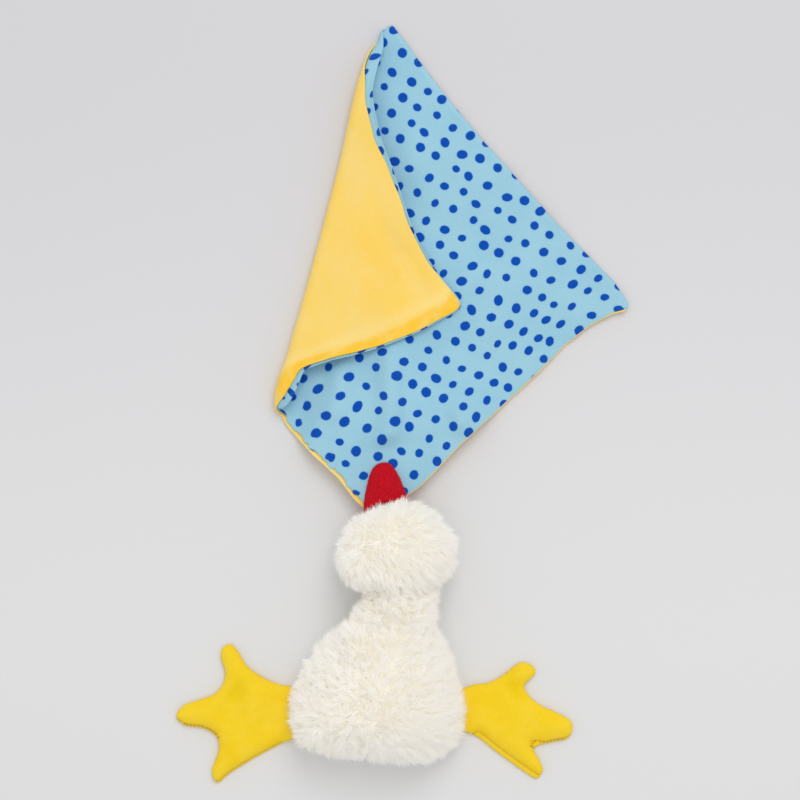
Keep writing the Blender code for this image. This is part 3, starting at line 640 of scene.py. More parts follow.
# How much is taken off all round so that the pile's outline fits, in millimetres at each ten degrees
BODY_CENTRE = np.array((-0.0012, 0.0))
BODY_TRIM = (3.6, 3.2, 2.1, 2.6, 2.4, 1.5, 0.0, 0.0, 0.0, 0.0, -1.5, -4.0, 1.4, 1.2, 1.5, 1.7, 1.4, 2.4,
             2.6, 1.3, 0.4, -1.6, 2.3, 3.6, 6.0, 6.2, 6.3, 5.6, 5.0, 4.1, 4.4, 3.3, 4.7, 2.2, 3.1, 1.7)
HEAD_CENTRE = np.array((0.0108, 0.0822))
HEAD_TRIM = (2.8, 3.4, 1.8, 3.2, 2.6, 2.0, 1.6, 0.6, -1.2, 0.4, 1.2, 1.4, 2.6, 2.4, 2.4, 1.8, 2.1, 2.5,
             1.6, 1.4, 2.0, 3.2, 2.6, 1.5, 0.0, 0.0, 0.0, 0.0, 0.0, 0.0, 1.0, 3.2, 3.3, 4.0, 4.0, 2.9)


def keep_biggest(shape):
    """Keep only the largest connected surface of a bmesh."""
    seen = set()
    best = []
    for start in shape.verts:
        if start in seen:
            continue
        seen.add(start)
        group = [start]
        for vertex in group:
            for edge in vertex.link_edges:
                other = edge.other_vert(vertex)
                if other not in seen:
                    seen.add(other)
                    group.append(other)
        if len(group) > len(best):
            best = group
    keep = set(best)
    bmesh.ops.delete(shape, geom=[v for v in shape.verts if v not in keep], context="VERTS")


def trimmed_round(points, middle, table, share):
    """Draw points in towards a middle, by a table of millimetres at each ten degrees."""
    away = points[:, :2] - middle
    far = np.linalg.norm(away, axis=1)
    turn = np.degrees(np.arctan2(away[:, 1], away[:, 0])) % 360
    trim = np.interp(turn, np.arange(0, 361, 10), np.append(table, table[0])) / 1000
    amount = trim * share * ramp(far, 0.012, 0.020)
    points[:, :2] -= away / (far[:, None] + TINY) * amount[:, None]


def duck_skin():
    """The duck's whole form from the CAD covers, as one smooth skin under the pile."""
    skin = softened(DUCK_NODES, "duck_skin", SKIN_CELL, 10)
    with opened(skin.data) as shape:
        keep_biggest(shape)
    points = points_of(skin.data) - normals_of(skin.data) * SKIN_DEPTH
    for notch, deep in NECK_NOTCHES:
        near = bell(np.linalg.norm(points[:, :2] - notch[:2], axis=1), NOTCH_REACH)
        towards = NECK - notch
        points += near[:, None] * towards / np.linalg.norm(towards) * deep
    trimmed_round(points, BODY_CENTRE, BODY_TRIM, 1 - ramp(points[:, 1], BODY_END, HEAD_FADE))
    trimmed_round(points, HEAD_CENTRE, HEAD_TRIM, ramp(points[:, 1], HEAD_START, HEAD_FADE))
    x, y, z = points.T
    saddle = bell(x - SADDLE_MIDDLE[0], SADDLE_REACH[0]) * bell(y - SADDLE_MIDDLE[1], SADDLE_REACH[1])
    from_start = points[:, :2] - CREASE_START
    crease = bell(from_start @ CREASE_ACROSS, CREASE_HALF_WIDTH)
    crease = crease * (1 - ramp(from_start @ CREASE_RUN, 0.006, 0.016))
    shoulder = bell(y - SHOULDER_Y, SHOULDER_REACH)
    change = z * SADDLE_SHARE * saddle + SHOULDER_RISE * shoulder - CREASE_DEPTH * crease
    points[:, 2] = np.maximum(z + change * ramp(z, 0, 0.020), SKIN_LOWEST)
    set_points(skin.data, points)
    return smoothed(skin, "duck_skin_smooth", 0.5, 6)


def middle_of(node):
    low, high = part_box(node)
    return (np.array(low) + np.array(high)) / 2


def unit(vectors):
    return vectors / (np.linalg.norm(vectors, axis=-1, keepdims=True) + TINY)


# The pile lies away from a spot on the body's back, and is swept back over the crown and the neck
RADIANT_SPOT = np.array((-0.0040, -0.0130, 0.050))
CROWN_SWEEP = np.array((0.62, -0.72, -0.3))
NECK_SWEEP = np.array((0.85, -0.30, 0.0))
# It parts along the back's seam and the head's
SEAM_POINT = np.array((-0.0036, -0.0240, 0.0))
SEAM_TURN = radians(-14)
SEAM_ACROSS = np.array((cos(SEAM_TURN), sin(SEAM_TURN), 0.0))
PARTING_REACH = 0.004
HEAD_MIDDLE = NECK + HEAD_FORWARD * 0.034 - HEAD_RIGHT * HEAD_ASIDE
BEAK_ROOT = NECK + HEAD_FORWARD * 0.064 - HEAD_RIGHT * HEAD_ASIDE
BEAK_ROOT[2] = MOUTH_HEIGHT
EYES = {name: middle_of(name) for name in ("left_eye", "right_eye")}


def shortened(near, share, start, reach):
    """How much of its length the pile keeps: a share close to a place, and all of it further off."""
    return share + (1 - share) * ramp(near, start, reach)


def comb_skin(skin):
    """Store which way the pile lies and how long it is, for each point of the skin."""
    points = points_of(skin.data)
    outward = normals_of(skin.data)
    on_head = ramp(points[:, 1], NECK[1] + 0.003, HEAD_FADE)[:, None]
    from_spot = points - RADIANT_SPOT
    reach = np.linalg.norm(from_spot[:, :2], axis=1, keepdims=True)
    low = ramp(-points[:, 1:2], 0.004, 0.026)
    on_body = unit(from_spot) * ramp(reach, 0, 0.02) * (0.55 + 0.45 * low)
    on_crown = CROWN_SWEEP * 0.9 + unit(points - HEAD_MIDDLE) * 0.35
    on_neck = NECK_SWEEP * 4 * on_head * (1 - on_head)
    comb = on_body * (1 - on_head) + on_crown * on_head + on_neck * 0.8
    for spot, across, strength in ((SEAM_POINT, SEAM_ACROSS, 1 - on_head[:, 0]),
                                   (HEAD_MIDDLE, HEAD_RIGHT, on_head[:, 0] * 0.6)):
        side = (points - spot) @ across
        parting = np.exp(-np.abs(side) / PARTING_REACH) * np.sign(side) * strength * (outward[:, 2] > 0.2)
        comb = comb + parting[:, None] * across * 0.3
    comb -= outward * np.sum(comb * outward, axis=1, keepdims=True)
    trim = np.where(outward[:, 2] < -0.8, 0.6, 1.0)
    for centre in EYES.values():
        trim *= shortened(np.linalg.norm(points - centre, axis=1), 0.22, 0.0035, 0.006)
    from_beak = (points - BEAK_ROOT) * (0.8, 1.0, 1.3)
    trim *= shortened(np.linalg.norm(from_beak, axis=1), 0.55, 0.010, 0.010)
    for notch, _ in NECK_NOTCHES:
        trim *= shortened(np.linalg.norm((points - notch)[:, :2], axis=1), 0.5, 0.004, 0.008)
    store(skin.data, "comb", comb)
    store(skin.data, "trim", trim)


def cut_piece(source, name, keep_face):
    """The faces of a mesh that a test keeps, as a new object with open edges."""
    shape = bmesh.new()
    shape.from_mesh(source.data)
    doomed = [face for face in shape.faces if not keep_face(face.calc_center_median())]
    bmesh.ops.delete(shape, geom=doomed, context="FACES")
    mesh = bpy.data.meshes.new(name)
    shape.to_mesh(mesh)
    shape.free()
    return linked(name, mesh)


def close_holes(piece):
    with opened(piece.data) as shape:
        bmesh.ops.holes_fill(shape, edges=[edge for edge in shape.edges if edge.is_boundary], sides=0)
        bmesh.ops.triangulate(shape, faces=[face for face in shape.faces if len(face.verts) > 4])
    face_outwards(piece)


def place_plush(piece, region):
    if region == "body":
        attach(piece, "body")
    elif region == "head":
        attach(piece, "head")
    elif region == "neck_rear":
        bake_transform(piece)
    else:
        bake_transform(piece)


# Where the plush is cut into pieces: at the neck along y, at the sides along x, and at the belly
REAR = NECK[1] - NECK_REACH
FRONT = NECK[1] + NECK_REACH
BODY_CUTS = (-0.022, 0.0, 0.022)
HEAD_CUTS = (0.002, 0.020)
BELLY_LINE = 0.009
FAR = 1.0
REGIONS = {
    "body": lambda spot: spot.y < REAR,
    "neck_rear": lambda spot: REAR <= spot.y < NECK[1],
    "neck_front": lambda spot: NECK[1] <= spot.y < FRONT,
    "head": lambda spot: spot.y >= FRONT,
}
COVERED = {
    "body": ("body_cover_left", "body_cover_right", "belly_panel", "body_filling"),
    "neck_rear": ("neck_filling", "neck_cover"),
    "neck_front": (),
    "head": ("head_cover_left", "head_cover_right", "head_filling"),
}
DUCK_NODES = [node for nodes in COVERED.values() for node in nodes]
# Each piece of pile: its name, its region, the sides it lies between and the heights
PILE_PIECES = (
    ("body_pile_left", "body", -FAR, BODY_CUTS[0], BELLY_LINE, FAR),
    ("body_pile_back_left", "body", BODY_CUTS[0], BODY_CUTS[1], BELLY_LINE, FAR),
    ("body_pile_back_right", "body", BODY_CUTS[1], BODY_CUTS[2], BELLY_LINE, FAR),
    ("body_pile_right", "body", BODY_CUTS[2], FAR, BELLY_LINE, FAR),
    ("body_pile_belly", "body", -FAR, FAR, -FAR, BELLY_LINE),
    ("neck_pile_rear", "neck_rear", -FAR, FAR, -FAR, FAR),
    ("neck_pile_front", "neck_front", -FAR, FAR, -FAR, FAR),
    ("head_pile_left", "head", -FAR, HEAD_CUTS[0], -FAR, FAR),
    ("head_pile_middle", "head", HEAD_CUTS[0], HEAD_CUTS[1], -FAR, FAR),
    ("head_pile_right", "head", HEAD_CUTS[1], FAR, -FAR, FAR),
)
BACK_STRANDS = 2.6e6
BELLY_STRANDS = 1.2e6
FIRST_PILE_SEED = 3


def plush_duck():
    skin = duck_skin()
    comb_skin(skin)
    for region, keep_face in REGIONS.items():
        piece = cut_piece(skin, region + "_backing", keep_face)
        close_holes(piece)
        dress(piece, BACKING)
        place_plush(piece, region)
        if COVERED[region]:
            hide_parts(*COVERED[region])
    for number, (name, region, left, right, low, high) in enumerate(PILE_PIECES):
        in_region = REGIONS[region]
        patch = cut_piece(skin, name + "_patch", lambda spot: (
            in_region(spot) and left <= spot.x < right and low < spot.z <= high))
        strands = grow(patch, name, Density=BELLY_STRANDS if high == BELLY_LINE else BACK_STRANDS,
                       Length=0.0078, Thickness=0.00015, Lock_Size=0.0029, Lock_Strength=0.36, Lean=1.22,
                       Disorder=0.75, Lowest=0.0004, Bends=4, Seed=number + FIRST_PILE_SEED, Finish=PLUSH)
        remove(patch)
        place_plush(strands, region)
    remove(skin)


# Cloth
LONG_SIDE = 0.223
SHORT_SIDE = 0.195
JERSEY_THICK = 0.0009
VELOUR_THICK = 0.0011
LAYERS_APART = 0.00015
CLOTH_LEVEL = 0.00125
# How the pattern lies: where its top corner is, measured from the fold, and how its sides run
CLOTH_TURN = radians(54.4)
TOP_CORNER = np.array((-0.0046, 0.0031))
LONG_RUN = np.array((cos(CLOTH_TURN), sin(CLOTH_TURN)))
SHORT_RUN = np.array((sin(CLOTH_TURN), -cos(CLOTH_TURN)))
# The fold: where it starts, how it runs, and the height about which the corner opens
FOLD_TURN = radians(-15)
FOLD_START = np.array((0.0028169, 0.3958434, 0.0))
FOLD_ALONG = np.array((sin(FOLD_TURN), -cos(FOLD_TURN), 0.0))
FOLD_ACROSS = np.array((cos(FOLD_TURN), sin(FOLD_TURN), 0.0))
# Past this place on the long side the cloth hangs from the beak
SPLIT_AT = 0.152
ROLL_FLAT = (0.018, 0.245)
FLAP_FLAT = (0.108, SHORT_SIDE)
# Each part of a layer: its flat size, how it is held, and the CAD nodes that it stands for
CLOTH_PARTS = (("lying", (SPLIT_AT, SHORT_SIDE), "laid", "cloth_"), ("roll", ROLL_FLAT, "folded", "fold_"),
               ("flap", FLAP_FLAT, "folded", "flap_"),
               ("held", (LONG_SIDE - SPLIT_AT, SHORT_SIDE), "laid", "held_corner_"))
# The fold's radius, and how far past the fold line the flap's edge is seen, at places along the fold
FOLD_RADII = ((0.0, 0.0012), (0.003, 0.0013), (0.0084, 0.0022), (0.0159, 0.0046), (0.0257, 0.0057),
              (0.0389, 0.0062), (0.0537, 0.0058), (0.075, 0.0046), (0.10, 0.0040), (0.16, 0.0040),
              (0.1752, 0.0042), (0.1878, 0.0046), (0.2038, 0.0047), (0.2174, 0.0060), (0.2267, 0.0061),
              (0.2373, 0.0040), (0.2428, 0.0014), (0.25, 0.0012))
FLAP_EDGE = ((0.0, -0.0012), (0.003, -0.0004), (0.006, 0.0010), (0.0124, 0.0026), (0.022, 0.0022),
             (0.035, 0.0024), (0.0412, 0.0038), (0.0503, 0.0077), (0.057, 0.0113), (0.0639, 0.0151),
             (0.0703, 0.0192), (0.0786, 0.0255), (0.0887, 0.0323), (0.0989, 0.0390), (0.1089, 0.0456),
             (0.1187, 0.0536), (0.1281, 0.0629), (0.137, 0.0740), (0.1415, 0.0809), (0.1466, 0.0872),
             (0.150, 0.0869), (0.1552, 0.0824), (0.1601, 0.0766), (0.1662, 0.0705), (0.1712, 0.0650),
             (0.1841, 0.0480), (0.1931, 0.0332), (0.2009, 0.0192), (0.2060, 0.0113), (0.2100, 0.0064),
             (0.2179, 0.0058), (0.2258, 0.0045), (0.2321, 0.0027), (0.2366, -0.0014), (0.2400, -0.0030),
             (0.25, -0.0036))
# How far each free edge of the lying cloth is drawn in, at shares of its length
TOP_EDGE_DRAW = ((0.0, 0.0), (0.1, 0.0012), (0.26, 0.0026), (0.4, 0.0022), (0.5, 0.0012), (0.7, -0.0005),
                 (0.82, -0.0030), (0.92, -0.0048), (1.0, -0.0030))
RIGHT_EDGE_DRAW = ((0.0, 0.0), (0.05, 0.0045), (0.124, 0.0077), (0.212, 0.0081), (0.323, 0.0058),
                   (0.444, 0.0042), (0.573, 0.0030), (0.658, 0.0020), (0.74, 0.0), (0.83, -0.002), (1.0, 0.0))
LOWER_EDGE_DRAW = ((0.0, 0.0042), (0.06, 0.0036), (0.16, 0.0012), (0.24, 0.0), (0.28, 0.0), (0.37, -0.003),
                   (0.46, -0.0052), (0.56, -0.0056), (0.62, -0.0058), (0.67, -0.0066), (0.712, -0.0058),
                   (0.763, -0.0052), (0.811, -0.0036), (0.853, -0.0024), (0.927, -0.003), (1.0, 0.0))
EDGE_FALL = 0.045
# How much of the jersey shows past the velour, at shares of the left and the lower side
LEFT_PEEPING = ((0.0, 0.0022), (0.10, 0.0050), (0.134, 0.0064), (0.186, 0.0056), (0.257, 0.0048),
                (0.316, 0.0052), (0.372, 0.0056), (0.431, 0.0054), (0.472, 0.0046), (0.53, 0.0036),
                (0.60, 0.0025), (0.75, 0.0019), (0.9, 0.0010), (1.0, 0.0006))
LOWER_PEEPING = ((0.0, 0.0006), (0.10, 0.0007), (0.17, 0.0010), (0.24, 0.0014), (0.326, 0.0026),
                 (0.38, 0.0029), (0.43, 0.0030), (0.50, 0.0026), (0.57, 0.0020), (0.61, 0.0008), (0.65, 0.0))
# The velour's rim shows past the jersey along the lying cloth's lower side: its width and its waves
RIM_WIDTH = 0.0022
RIM_WAVES = ((0.0006, 83), (0.0005, 191), (0.0005, 397))
TOP_INSET = 0.0022
RIGHT_INSET = 0.0005
INSET_FADE = 0.020
# Soft creases in the lying cloth: both ends, height, and how far each side slopes
CREASES = (
    ((0.0036, 0.1430), (0.0095, 0.2040), 0.0068, 0.0085, 0.0058),
    ((-0.0295, 0.1592), (-0.0205, 0.2000), 0.0042, 0.0060, 0.0062),
    ((0.0469, 0.1485), (0.0484, 0.1720), 0.0034, 0.0055, 0.0050),
    ((0.0300, 0.2150), (0.0640, 0.2560), 0.0032, 0.0095, 0.0100),
    ((0.0180, 0.3380), (0.0300, 0.2900), 0.0020, 0.0090, 0.0100),
)
CREASE_BEND = 0.0016
# Unevenness: the size of the waves, their seed and their height
BROAD_WAVES = (0.070, 11, 0.0019)
SMALL_WAVES = (0.024, 12, 0.0006)
PUCKERS = (0.0095, 13, 0.0006)
FLAP_WAVES = (0.055, 21)
FLAP_WAVE_HEIGHT = 0.0016
# The flap rises over the fold, comes to rest on the cloth below it, and has one long dent
FLAP_SETTLE = 0.060
FLAP_REST = 0.0031
FLAP_LEAST = 0.0026
SWELL_LENGTH = 0.050
SWELL_HEIGHT = 0.0022
DENT_MIDDLE = np.array((0.0142, 0.2595))
DENT_ACROSS = np.array((0.86, 0.51))
DENT_ALONG = np.array((0.51, -0.86))
DENT_REACH = (0.0050, 0.021)
DENT_DEPTH = 0.0027
# The cloth rises to the beak: how far ahead of it that starts, and how far to the sides
LIFT_AHEAD = 0.076
LIFT_HALF_WIDTH = 0.052
LIFT_SIDE_FADE = 0.030
# The pattern's corners: where each is, and the radius that it is turned to
CORNERS = ((0, 0, 0.0025), (LONG_SIDE, 0, 0.005), (0, SHORT_SIDE, 0.007), (LONG_SIDE, SHORT_SIDE, 0.008))
# Rows of the cloth's mesh close to a side, and the distance between the others
BORDER_ROWS = np.array((0, 0.0002, 0.0005, 0.0009, 0.0014, 0.0020, 0.0028, 0.0038, 0.005))
CLOTH_CELL = 0.0021
EDGE_ROUND = 0.0006
# A layer's edge curls round the other layer's within this reach
CURL_REACH = 0.0026
CURL_SHARE = 1.75


def read_table(table, place):
    return np.interp(place, [row[0] for row in table], [row[1] for row in table])


def smooth_table(table, place, spread=0.0012):
    """A table read with its corners rounded off."""
    total = sum(weight * read_table(table, place + offset * spread)
                for offset, weight in ((-2, 1), (-1, 2), (0, 3), (1, 2), (2, 1)))
    return total / 9


def lift_near_beak(points, across):
    away = points - BEAK_HINGE
    ahead = away @ HEAD_FORWARD / LIFT_AHEAD
    aside = np.maximum(np.abs(away @ HEAD_RIGHT) - LIFT_HALF_WIDTH, 0) / LIFT_SIDE_FADE
    distance = np.where(ahead > 0, np.sqrt(np.maximum(ahead, 0) ** 2 + aside ** 2), 0)
    return (MOUTH_HEIGHT - CLOTH_LEVEL) * (1 - ease(distance)) * ramp(across, 0.010, 0.016)


def waves(points, size, seed, height):
    """Swells from nothing up to about a height."""
    return np.clip(0.5 + 0.5 * ripples(points[:, 0], points[:, 1], size, seed), 0, 1.3) * height


def ground_waves(points, across, edge):
    """The lying cloth's soft unevenness: it never goes below the floor."""
    near_edge = np.exp(-edge / 0.007)
    rise = waves(points, *BROAD_WAVES) + waves(points, *SMALL_WAVES) * (0.4 + near_edge)
    rise = rise + waves(points, *PUCKERS) * near_edge
    for start, end, high, left, right in CREASES:
        start = np.array(start)
        run = np.array(end) - start
        length = np.hypot(*run)
        run /= length
        share = (points[:, :2] - start) @ run / length
        side = (points[:, :2] - start) @ np.array((run[1], -run[0])) - CREASE_BEND * np.sin(share * 5.0)
        ends = ramp(share, -0.12, 0.35) * (1 - ramp(share, 0.72, 0.45))
        rise = rise + high * bell(side, np.where(side > 0, right, left)) * ends
    free = ramp((points - BEAK_HINGE) @ HEAD_FORWARD, 0.001, 0.012)
    return rise * free * ramp(across, -0.002, 0.02)


def flap_rise(flap, over, radius):
    """How high the flap lies above the cloth under it."""
    settle = ease(over / FLAP_SETTLE)
    swell = np.sin(pi * np.clip(over / SWELL_LENGTH, 0, 1)) * SWELL_HEIGHT
    soft = (0.5 + 0.5 * ripples(flap[:, 0], flap[:, 1], *FLAP_WAVES)) * FLAP_WAVE_HEIGHT * ramp(over, 0, 0.02)
    away = flap[:, :2] - DENT_MIDDLE
    dent = bell(away @ DENT_ACROSS, DENT_REACH[0]) * bell(away @ DENT_ALONG, DENT_REACH[1]) * DENT_DEPTH
    return np.maximum(2 * radius * (1 - settle) + FLAP_REST * settle + swell + soft - dent, FLAP_LEAST)


def cloth_place(along, across, edge):
    """The cloth's middle surface from its flat pattern: lying, rolled over at the fold, and the flap."""
    line = FOLD_START + np.outer(along, FOLD_ALONG)
    lying = line + np.outer(across, FOLD_ACROSS)
    lying[:, 2] = CLOTH_LEVEL + lift_near_beak(lying, across) + ground_waves(lying, across, edge)
    radius = smooth_table(FOLD_RADII, along)
    shown = shown_width(along, across)
    angle = np.clip(shown / radius, 0, pi)
    rolled = line - (radius * np.sin(angle))[:, None] * FOLD_ACROSS
    rolled[:, 2] = CLOTH_LEVEL + radius * (1 - np.cos(angle))
    over = np.maximum(shown - pi * radius, 0)
    flap = line + np.outer(over, FOLD_ACROSS)
    under = lift_near_beak(flap, over) + ground_waves(flap, over, np.full(len(along), 0.1))
    flap[:, 2] = CLOTH_LEVEL + under + flap_rise(flap, over, radius)
    result = np.where((across >= 0)[:, None], lying, rolled)
    return np.where((over > 0)[:, None] & (across < 0)[:, None], flap, result)


def shown_width(along, across):
    """How far round the fold and over it each point of the flap comes, measured from the fold line."""
    edge = smooth_table(FLAP_EDGE, along) + pi * smooth_table(FOLD_RADII, along)
    width = np.maximum(np.interp(along, FLAP_PATTERN[:, 0], FLAP_PATTERN[:, 1]), 0.0004)
    return -across * np.clip(edge / width, 0.3, 2.6)


def border_rows(length):
    """Places along one side: close together at both ends, then evenly spaced."""
    border = BORDER_ROWS[-1]
    count = max(2, round((length - 2 * border) / CLOTH_CELL))
    middle = np.linspace(border, length - border, count + 1)[1:-1]
    return np.concatenate((BORDER_ROWS, middle, length - BORDER_ROWS[::-1]))


def rounded_corners(u, v):
    """Turn the pattern's square corners into quarter circles."""
    u, v = u.copy(), v.copy()
    for at_u, at_v, radius in CORNERS:
        inner_u = abs(at_u - radius)
        inner_v = abs(at_v - radius)
        a = (u - inner_u) / (at_u - inner_u)
        b = (v - inner_v) / (at_v - inner_v)
        inside = (a > 0) & (b > 0)
        bent_a = a * np.sqrt(np.clip(1 - b * b / 2, 0, 1))
        bent_b = b * np.sqrt(np.clip(1 - a * a / 2, 0, 1))
        u = np.where(inside, inner_u + bent_a * (at_u - inner_u), u)
        v = np.where(inside, inner_v + bent_b * (at_v - inner_v), v)
    return u, v


def border_distance(u, v):
    """How far each place on the pattern lies inside its border, also round the corners."""
    edge = np.minimum(np.minimum(u, LONG_SIDE - u), np.minimum(v, SHORT_SIDE - v))
    for at_u, at_v, radius in CORNERS:
        a = np.clip(1 - np.abs(at_u - u) / radius, 0, 1)
        b = np.clip(1 - np.abs(at_v - v) / radius, 0, 1)
        inside = (a > 0) & (b > 0)
        edge = np.where(inside, radius * (1 - np.sqrt(1 - (1 - a * a) * (1 - b * b))), edge)
    return edge


def lower_draw(u, v):
    return read_table(LOWER_EDGE_DRAW, u / LONG_SIDE) * (1 - ease((SHORT_SIDE - v) / EDGE_FALL))


def flap_pattern():
    """The flap's own width at places along the fold, from the pattern's left and lower sides."""
    sides = np.linspace(0, 1, 2000)
    u = np.concatenate((sides * 0, sides * LONG_SIDE))
    v = np.concatenate((sides * SHORT_SIDE, sides * 0 + SHORT_SIDE))
    draw = lower_draw(u, v)
    u, v = rounded_corners(u, v)
    flat = TOP_CORNER + np.outer(u, LONG_RUN) + np.outer(v - draw, SHORT_RUN)
    flat = flat[flat[:, 1] < 0.002]
    flat = flat[np.argsort(flat[:, 0])]
    return np.column_stack((flat[:, 0], -flat[:, 1]))


FLAP_PATTERN = flap_pattern()


def cloth_cells(side, us, columns, across, over, inner_of):
    """Each cell of a layer: the part that it belongs to, its outer face and its inner face."""
    index = np.arange(len(us) * columns).reshape(len(us), columns)
    cells = []
    for i in range(len(us) - 1):
        for j in range(columns - 1):
            top = (index[i, j], index[i + 1, j], index[i + 1, j + 1], index[i, j + 1])
            low = tuple(inner_of[corner] for corner in reversed(top))
            if side > 0:
                top, low = top[::-1], low[::-1]
            if us[i] >= SPLIT_AT:
                part = "held"
            elif across[list(top)].mean() >= 0:
                part = "lying"
            else:
                part = "roll" if over[list(top)].mean() <= 0 else "flap"
            cells.append((part, top, low))
    return cells


def cloth_layer(side, thick, insets, wraps):
    """One layer's closed skin over the whole pattern, as points, faces and what its finish reads.

    side is 1 for the jersey and -1 for the velour. insets and wraps are functions of the share along
    each side (top, left, right, lower): how far the layer stops short, and how far it curls round.
    """
    us = border_rows(LONG_SIDE)
    vs = border_rows(SHORT_SIDE)
    grid_u, grid_v = np.meshgrid(us, vs, indexing="ij")
    u0, v0 = grid_u.ravel(), grid_v.ravel()
    edge = border_distance(u0, v0)
    share_u, share_v = u0 / LONG_SIDE, v0 / SHORT_SIDE
    u, v = rounded_corners(u0, v0)
    u = u + insets["left"](share_v) * np.clip(1 - u0 / INSET_FADE, 0, 1)
    u = u - insets["right"](share_v) * np.clip(1 - (LONG_SIDE - u0) / INSET_FADE, 0, 1)
    v = v + insets["top"](share_u) * np.clip(1 - v0 / INSET_FADE, 0, 1)
    v = v - insets["lower"](share_u) * np.clip(1 - (SHORT_SIDE - v0) / INSET_FADE, 0, 1)
    v = v + read_table(TOP_EDGE_DRAW, share_u) * (1 - ease(v0 / EDGE_FALL))
    u = u - read_table(RIGHT_EDGE_DRAW, share_v) * (1 - ease((LONG_SIDE - u0) / EDGE_FALL))
    v = v - lower_draw(u0, v0)
    curl = np.zeros_like(u0)
    for name, distance, share in (("left", u0, share_v), ("right", LONG_SIDE - u0, share_v),
                                  ("top", v0, share_u), ("lower", SHORT_SIDE - v0, share_u)):
        curl = np.maximum(curl, wraps[name](share) * (1 - ease(distance / CURL_REACH)))

    flat = TOP_CORNER + np.outer(u, LONG_RUN) + np.outer(v, SHORT_RUN)
    along, across = flat[:, 0], flat[:, 1]
    step = 0.0004
    place = cloth_place(along, across, edge)
    run = cloth_place(along + step, across, edge) - cloth_place(along - step, across, edge)
    rise = cloth_place(along, across + step, edge) - cloth_place(along, across - step, edge)
    normal = np.cross(run, rise)
    normal /= np.linalg.norm(normal, axis=1, keepdims=True)
    middle = side * (LAYERS_APART + thick / 2) * (1 - CURL_SHARE * curl)
    half = thick / 2 * round_edge(edge, EDGE_ROUND)
    outer = place + normal * (middle + side * half)[:, None]
    inner = place + normal * (middle - side * half)[:, None]

    inner_of = np.where(edge <= 0, np.arange(len(u0)), len(u0) + np.arange(len(u0)))
    over = shown_width(along, across) - pi * smooth_table(FOLD_RADII, along)
    cells = cloth_cells(side, us, len(vs), across, over, inner_of)
    marks = {
        "flat": np.stack((u0, v0, u0 * 0), 1),
        "border": np.exp(-edge / 0.004),
        # Painted shade for the velour: the flap's turned-down band and its hollow
        "deep": painted_band_shade(place, across, u0, v0),
        # Painted highlight for the velour: the ridge above the flap's band, and the lying cloth's edges
        "painted_highlight": painted_ridge_highlight(across, v0) + np.exp(-edge / 0.0016) * (across > 0.002),
    }
    marks = {key: np.concatenate((values, values)) for key, values in marks.items()}
    return np.concatenate((outer, inner)), cells, marks, inner_of


def on_flap(across):
    return ramp(-across, 0.006, 0.01)


def painted_band_shade(place, across, u0, v0):
    """Painted shade where the velour faces away from the light: in the turned-down band along the flap's
    lower edge and in the flap's shallow hollow."""
    inward = np.minimum(SHORT_SIDE - v0, np.hypot(u0 * 0.75, np.maximum(SHORT_SIDE - v0 - 0.004, 0)))
    band = 1 - ramp(inward, 0.0060, 0.0040)
    hollow = bell(place[:, 0] + 0.006, 0.026) * bell(place[:, 1] - 0.258, 0.036)
    return np.clip(band + hollow * 0.30, 0, 1) * on_flap(across)


def painted_ridge_highlight(across, v0):
    """Painted highlight where the velour catches the light: on the ridge just inside the turned-down band."""
    return bell(SHORT_SIDE - v0 - 0.0135, 0.0042) * on_flap(across)


def even_normals(mesh):
    """A shading normal for each point, in which a face counts by its area, so that the slivers in a
    rounded corner leave no smudge."""
    count = len(mesh.polygons)
    normals, areas, sides = np.empty(count * 3), np.empty(count), np.empty(count, dtype=np.int32)
    mesh.polygons.foreach_get("normal", normals)
    mesh.polygons.foreach_get("area", areas)
    mesh.polygons.foreach_get("loop_total", sides)
    corners = np.empty(len(mesh.loops), dtype=np.int32)
    mesh.loops.foreach_get("vertex_index", corners)
    total = np.zeros((len(mesh.vertices), 3))
    np.add.at(total, corners, np.repeat(normals.reshape(-1, 3) * areas[:, None], sides, axis=0))
    length = np.linalg.norm(total, axis=1, keepdims=True)
    return np.where(length > 1e-12, total / np.maximum(length, 1e-12), normals_of(mesh))


def open_edges(faces):
    """The edges, in order, that only one of the faces has."""
    edges = {(a, b) for face in faces for a, b in zip(face, face[1:] + face[:1])}
    return [(a, b) for a, b in sorted(edges) if (b, a) not in edges]


def split_layer(name, layer, finish):
    """The layer as four closed objects that meet edge to edge, shaded as if they were one."""
    points, cells, marks, inner_of = layer
    whole = new_object(name + "_whole", points, [face for _, top, low in cells for face in (top, low)])
    shading = even_normals(whole.data)
    remove(whole)
    made = {}
    for part, _, _, _ in CLOTH_PARTS:
        tops = [top for own, top, low in cells if own == part]
        faces = tops + [low for own, top, low in cells if own == part]
        for a, b in open_edges(tops):
            if inner_of[a] == a and inner_of[b] == b:
                continue
            wall = tuple(dict.fromkeys((b, a, int(inner_of[a]), int(inner_of[b]))))
            if len(wall) > 2:
                faces.append(wall)
        used = sorted({corner for face in faces for corner in face})
        number = {old: new for new, old in enumerate(used)}
        piece = new_object(name + "_" + part, points[used],
                           [[number[corner] for corner in face] for face in faces], finish)
        for key, values in marks.items():
            store(piece.data, key, values[used])
        piece.data.normals_split_custom_set_from_vertices([tuple(n) for n in shading[used]])
        made[part] = piece
    return made


def constant(value):
    return lambda share: np.full_like(share, value)


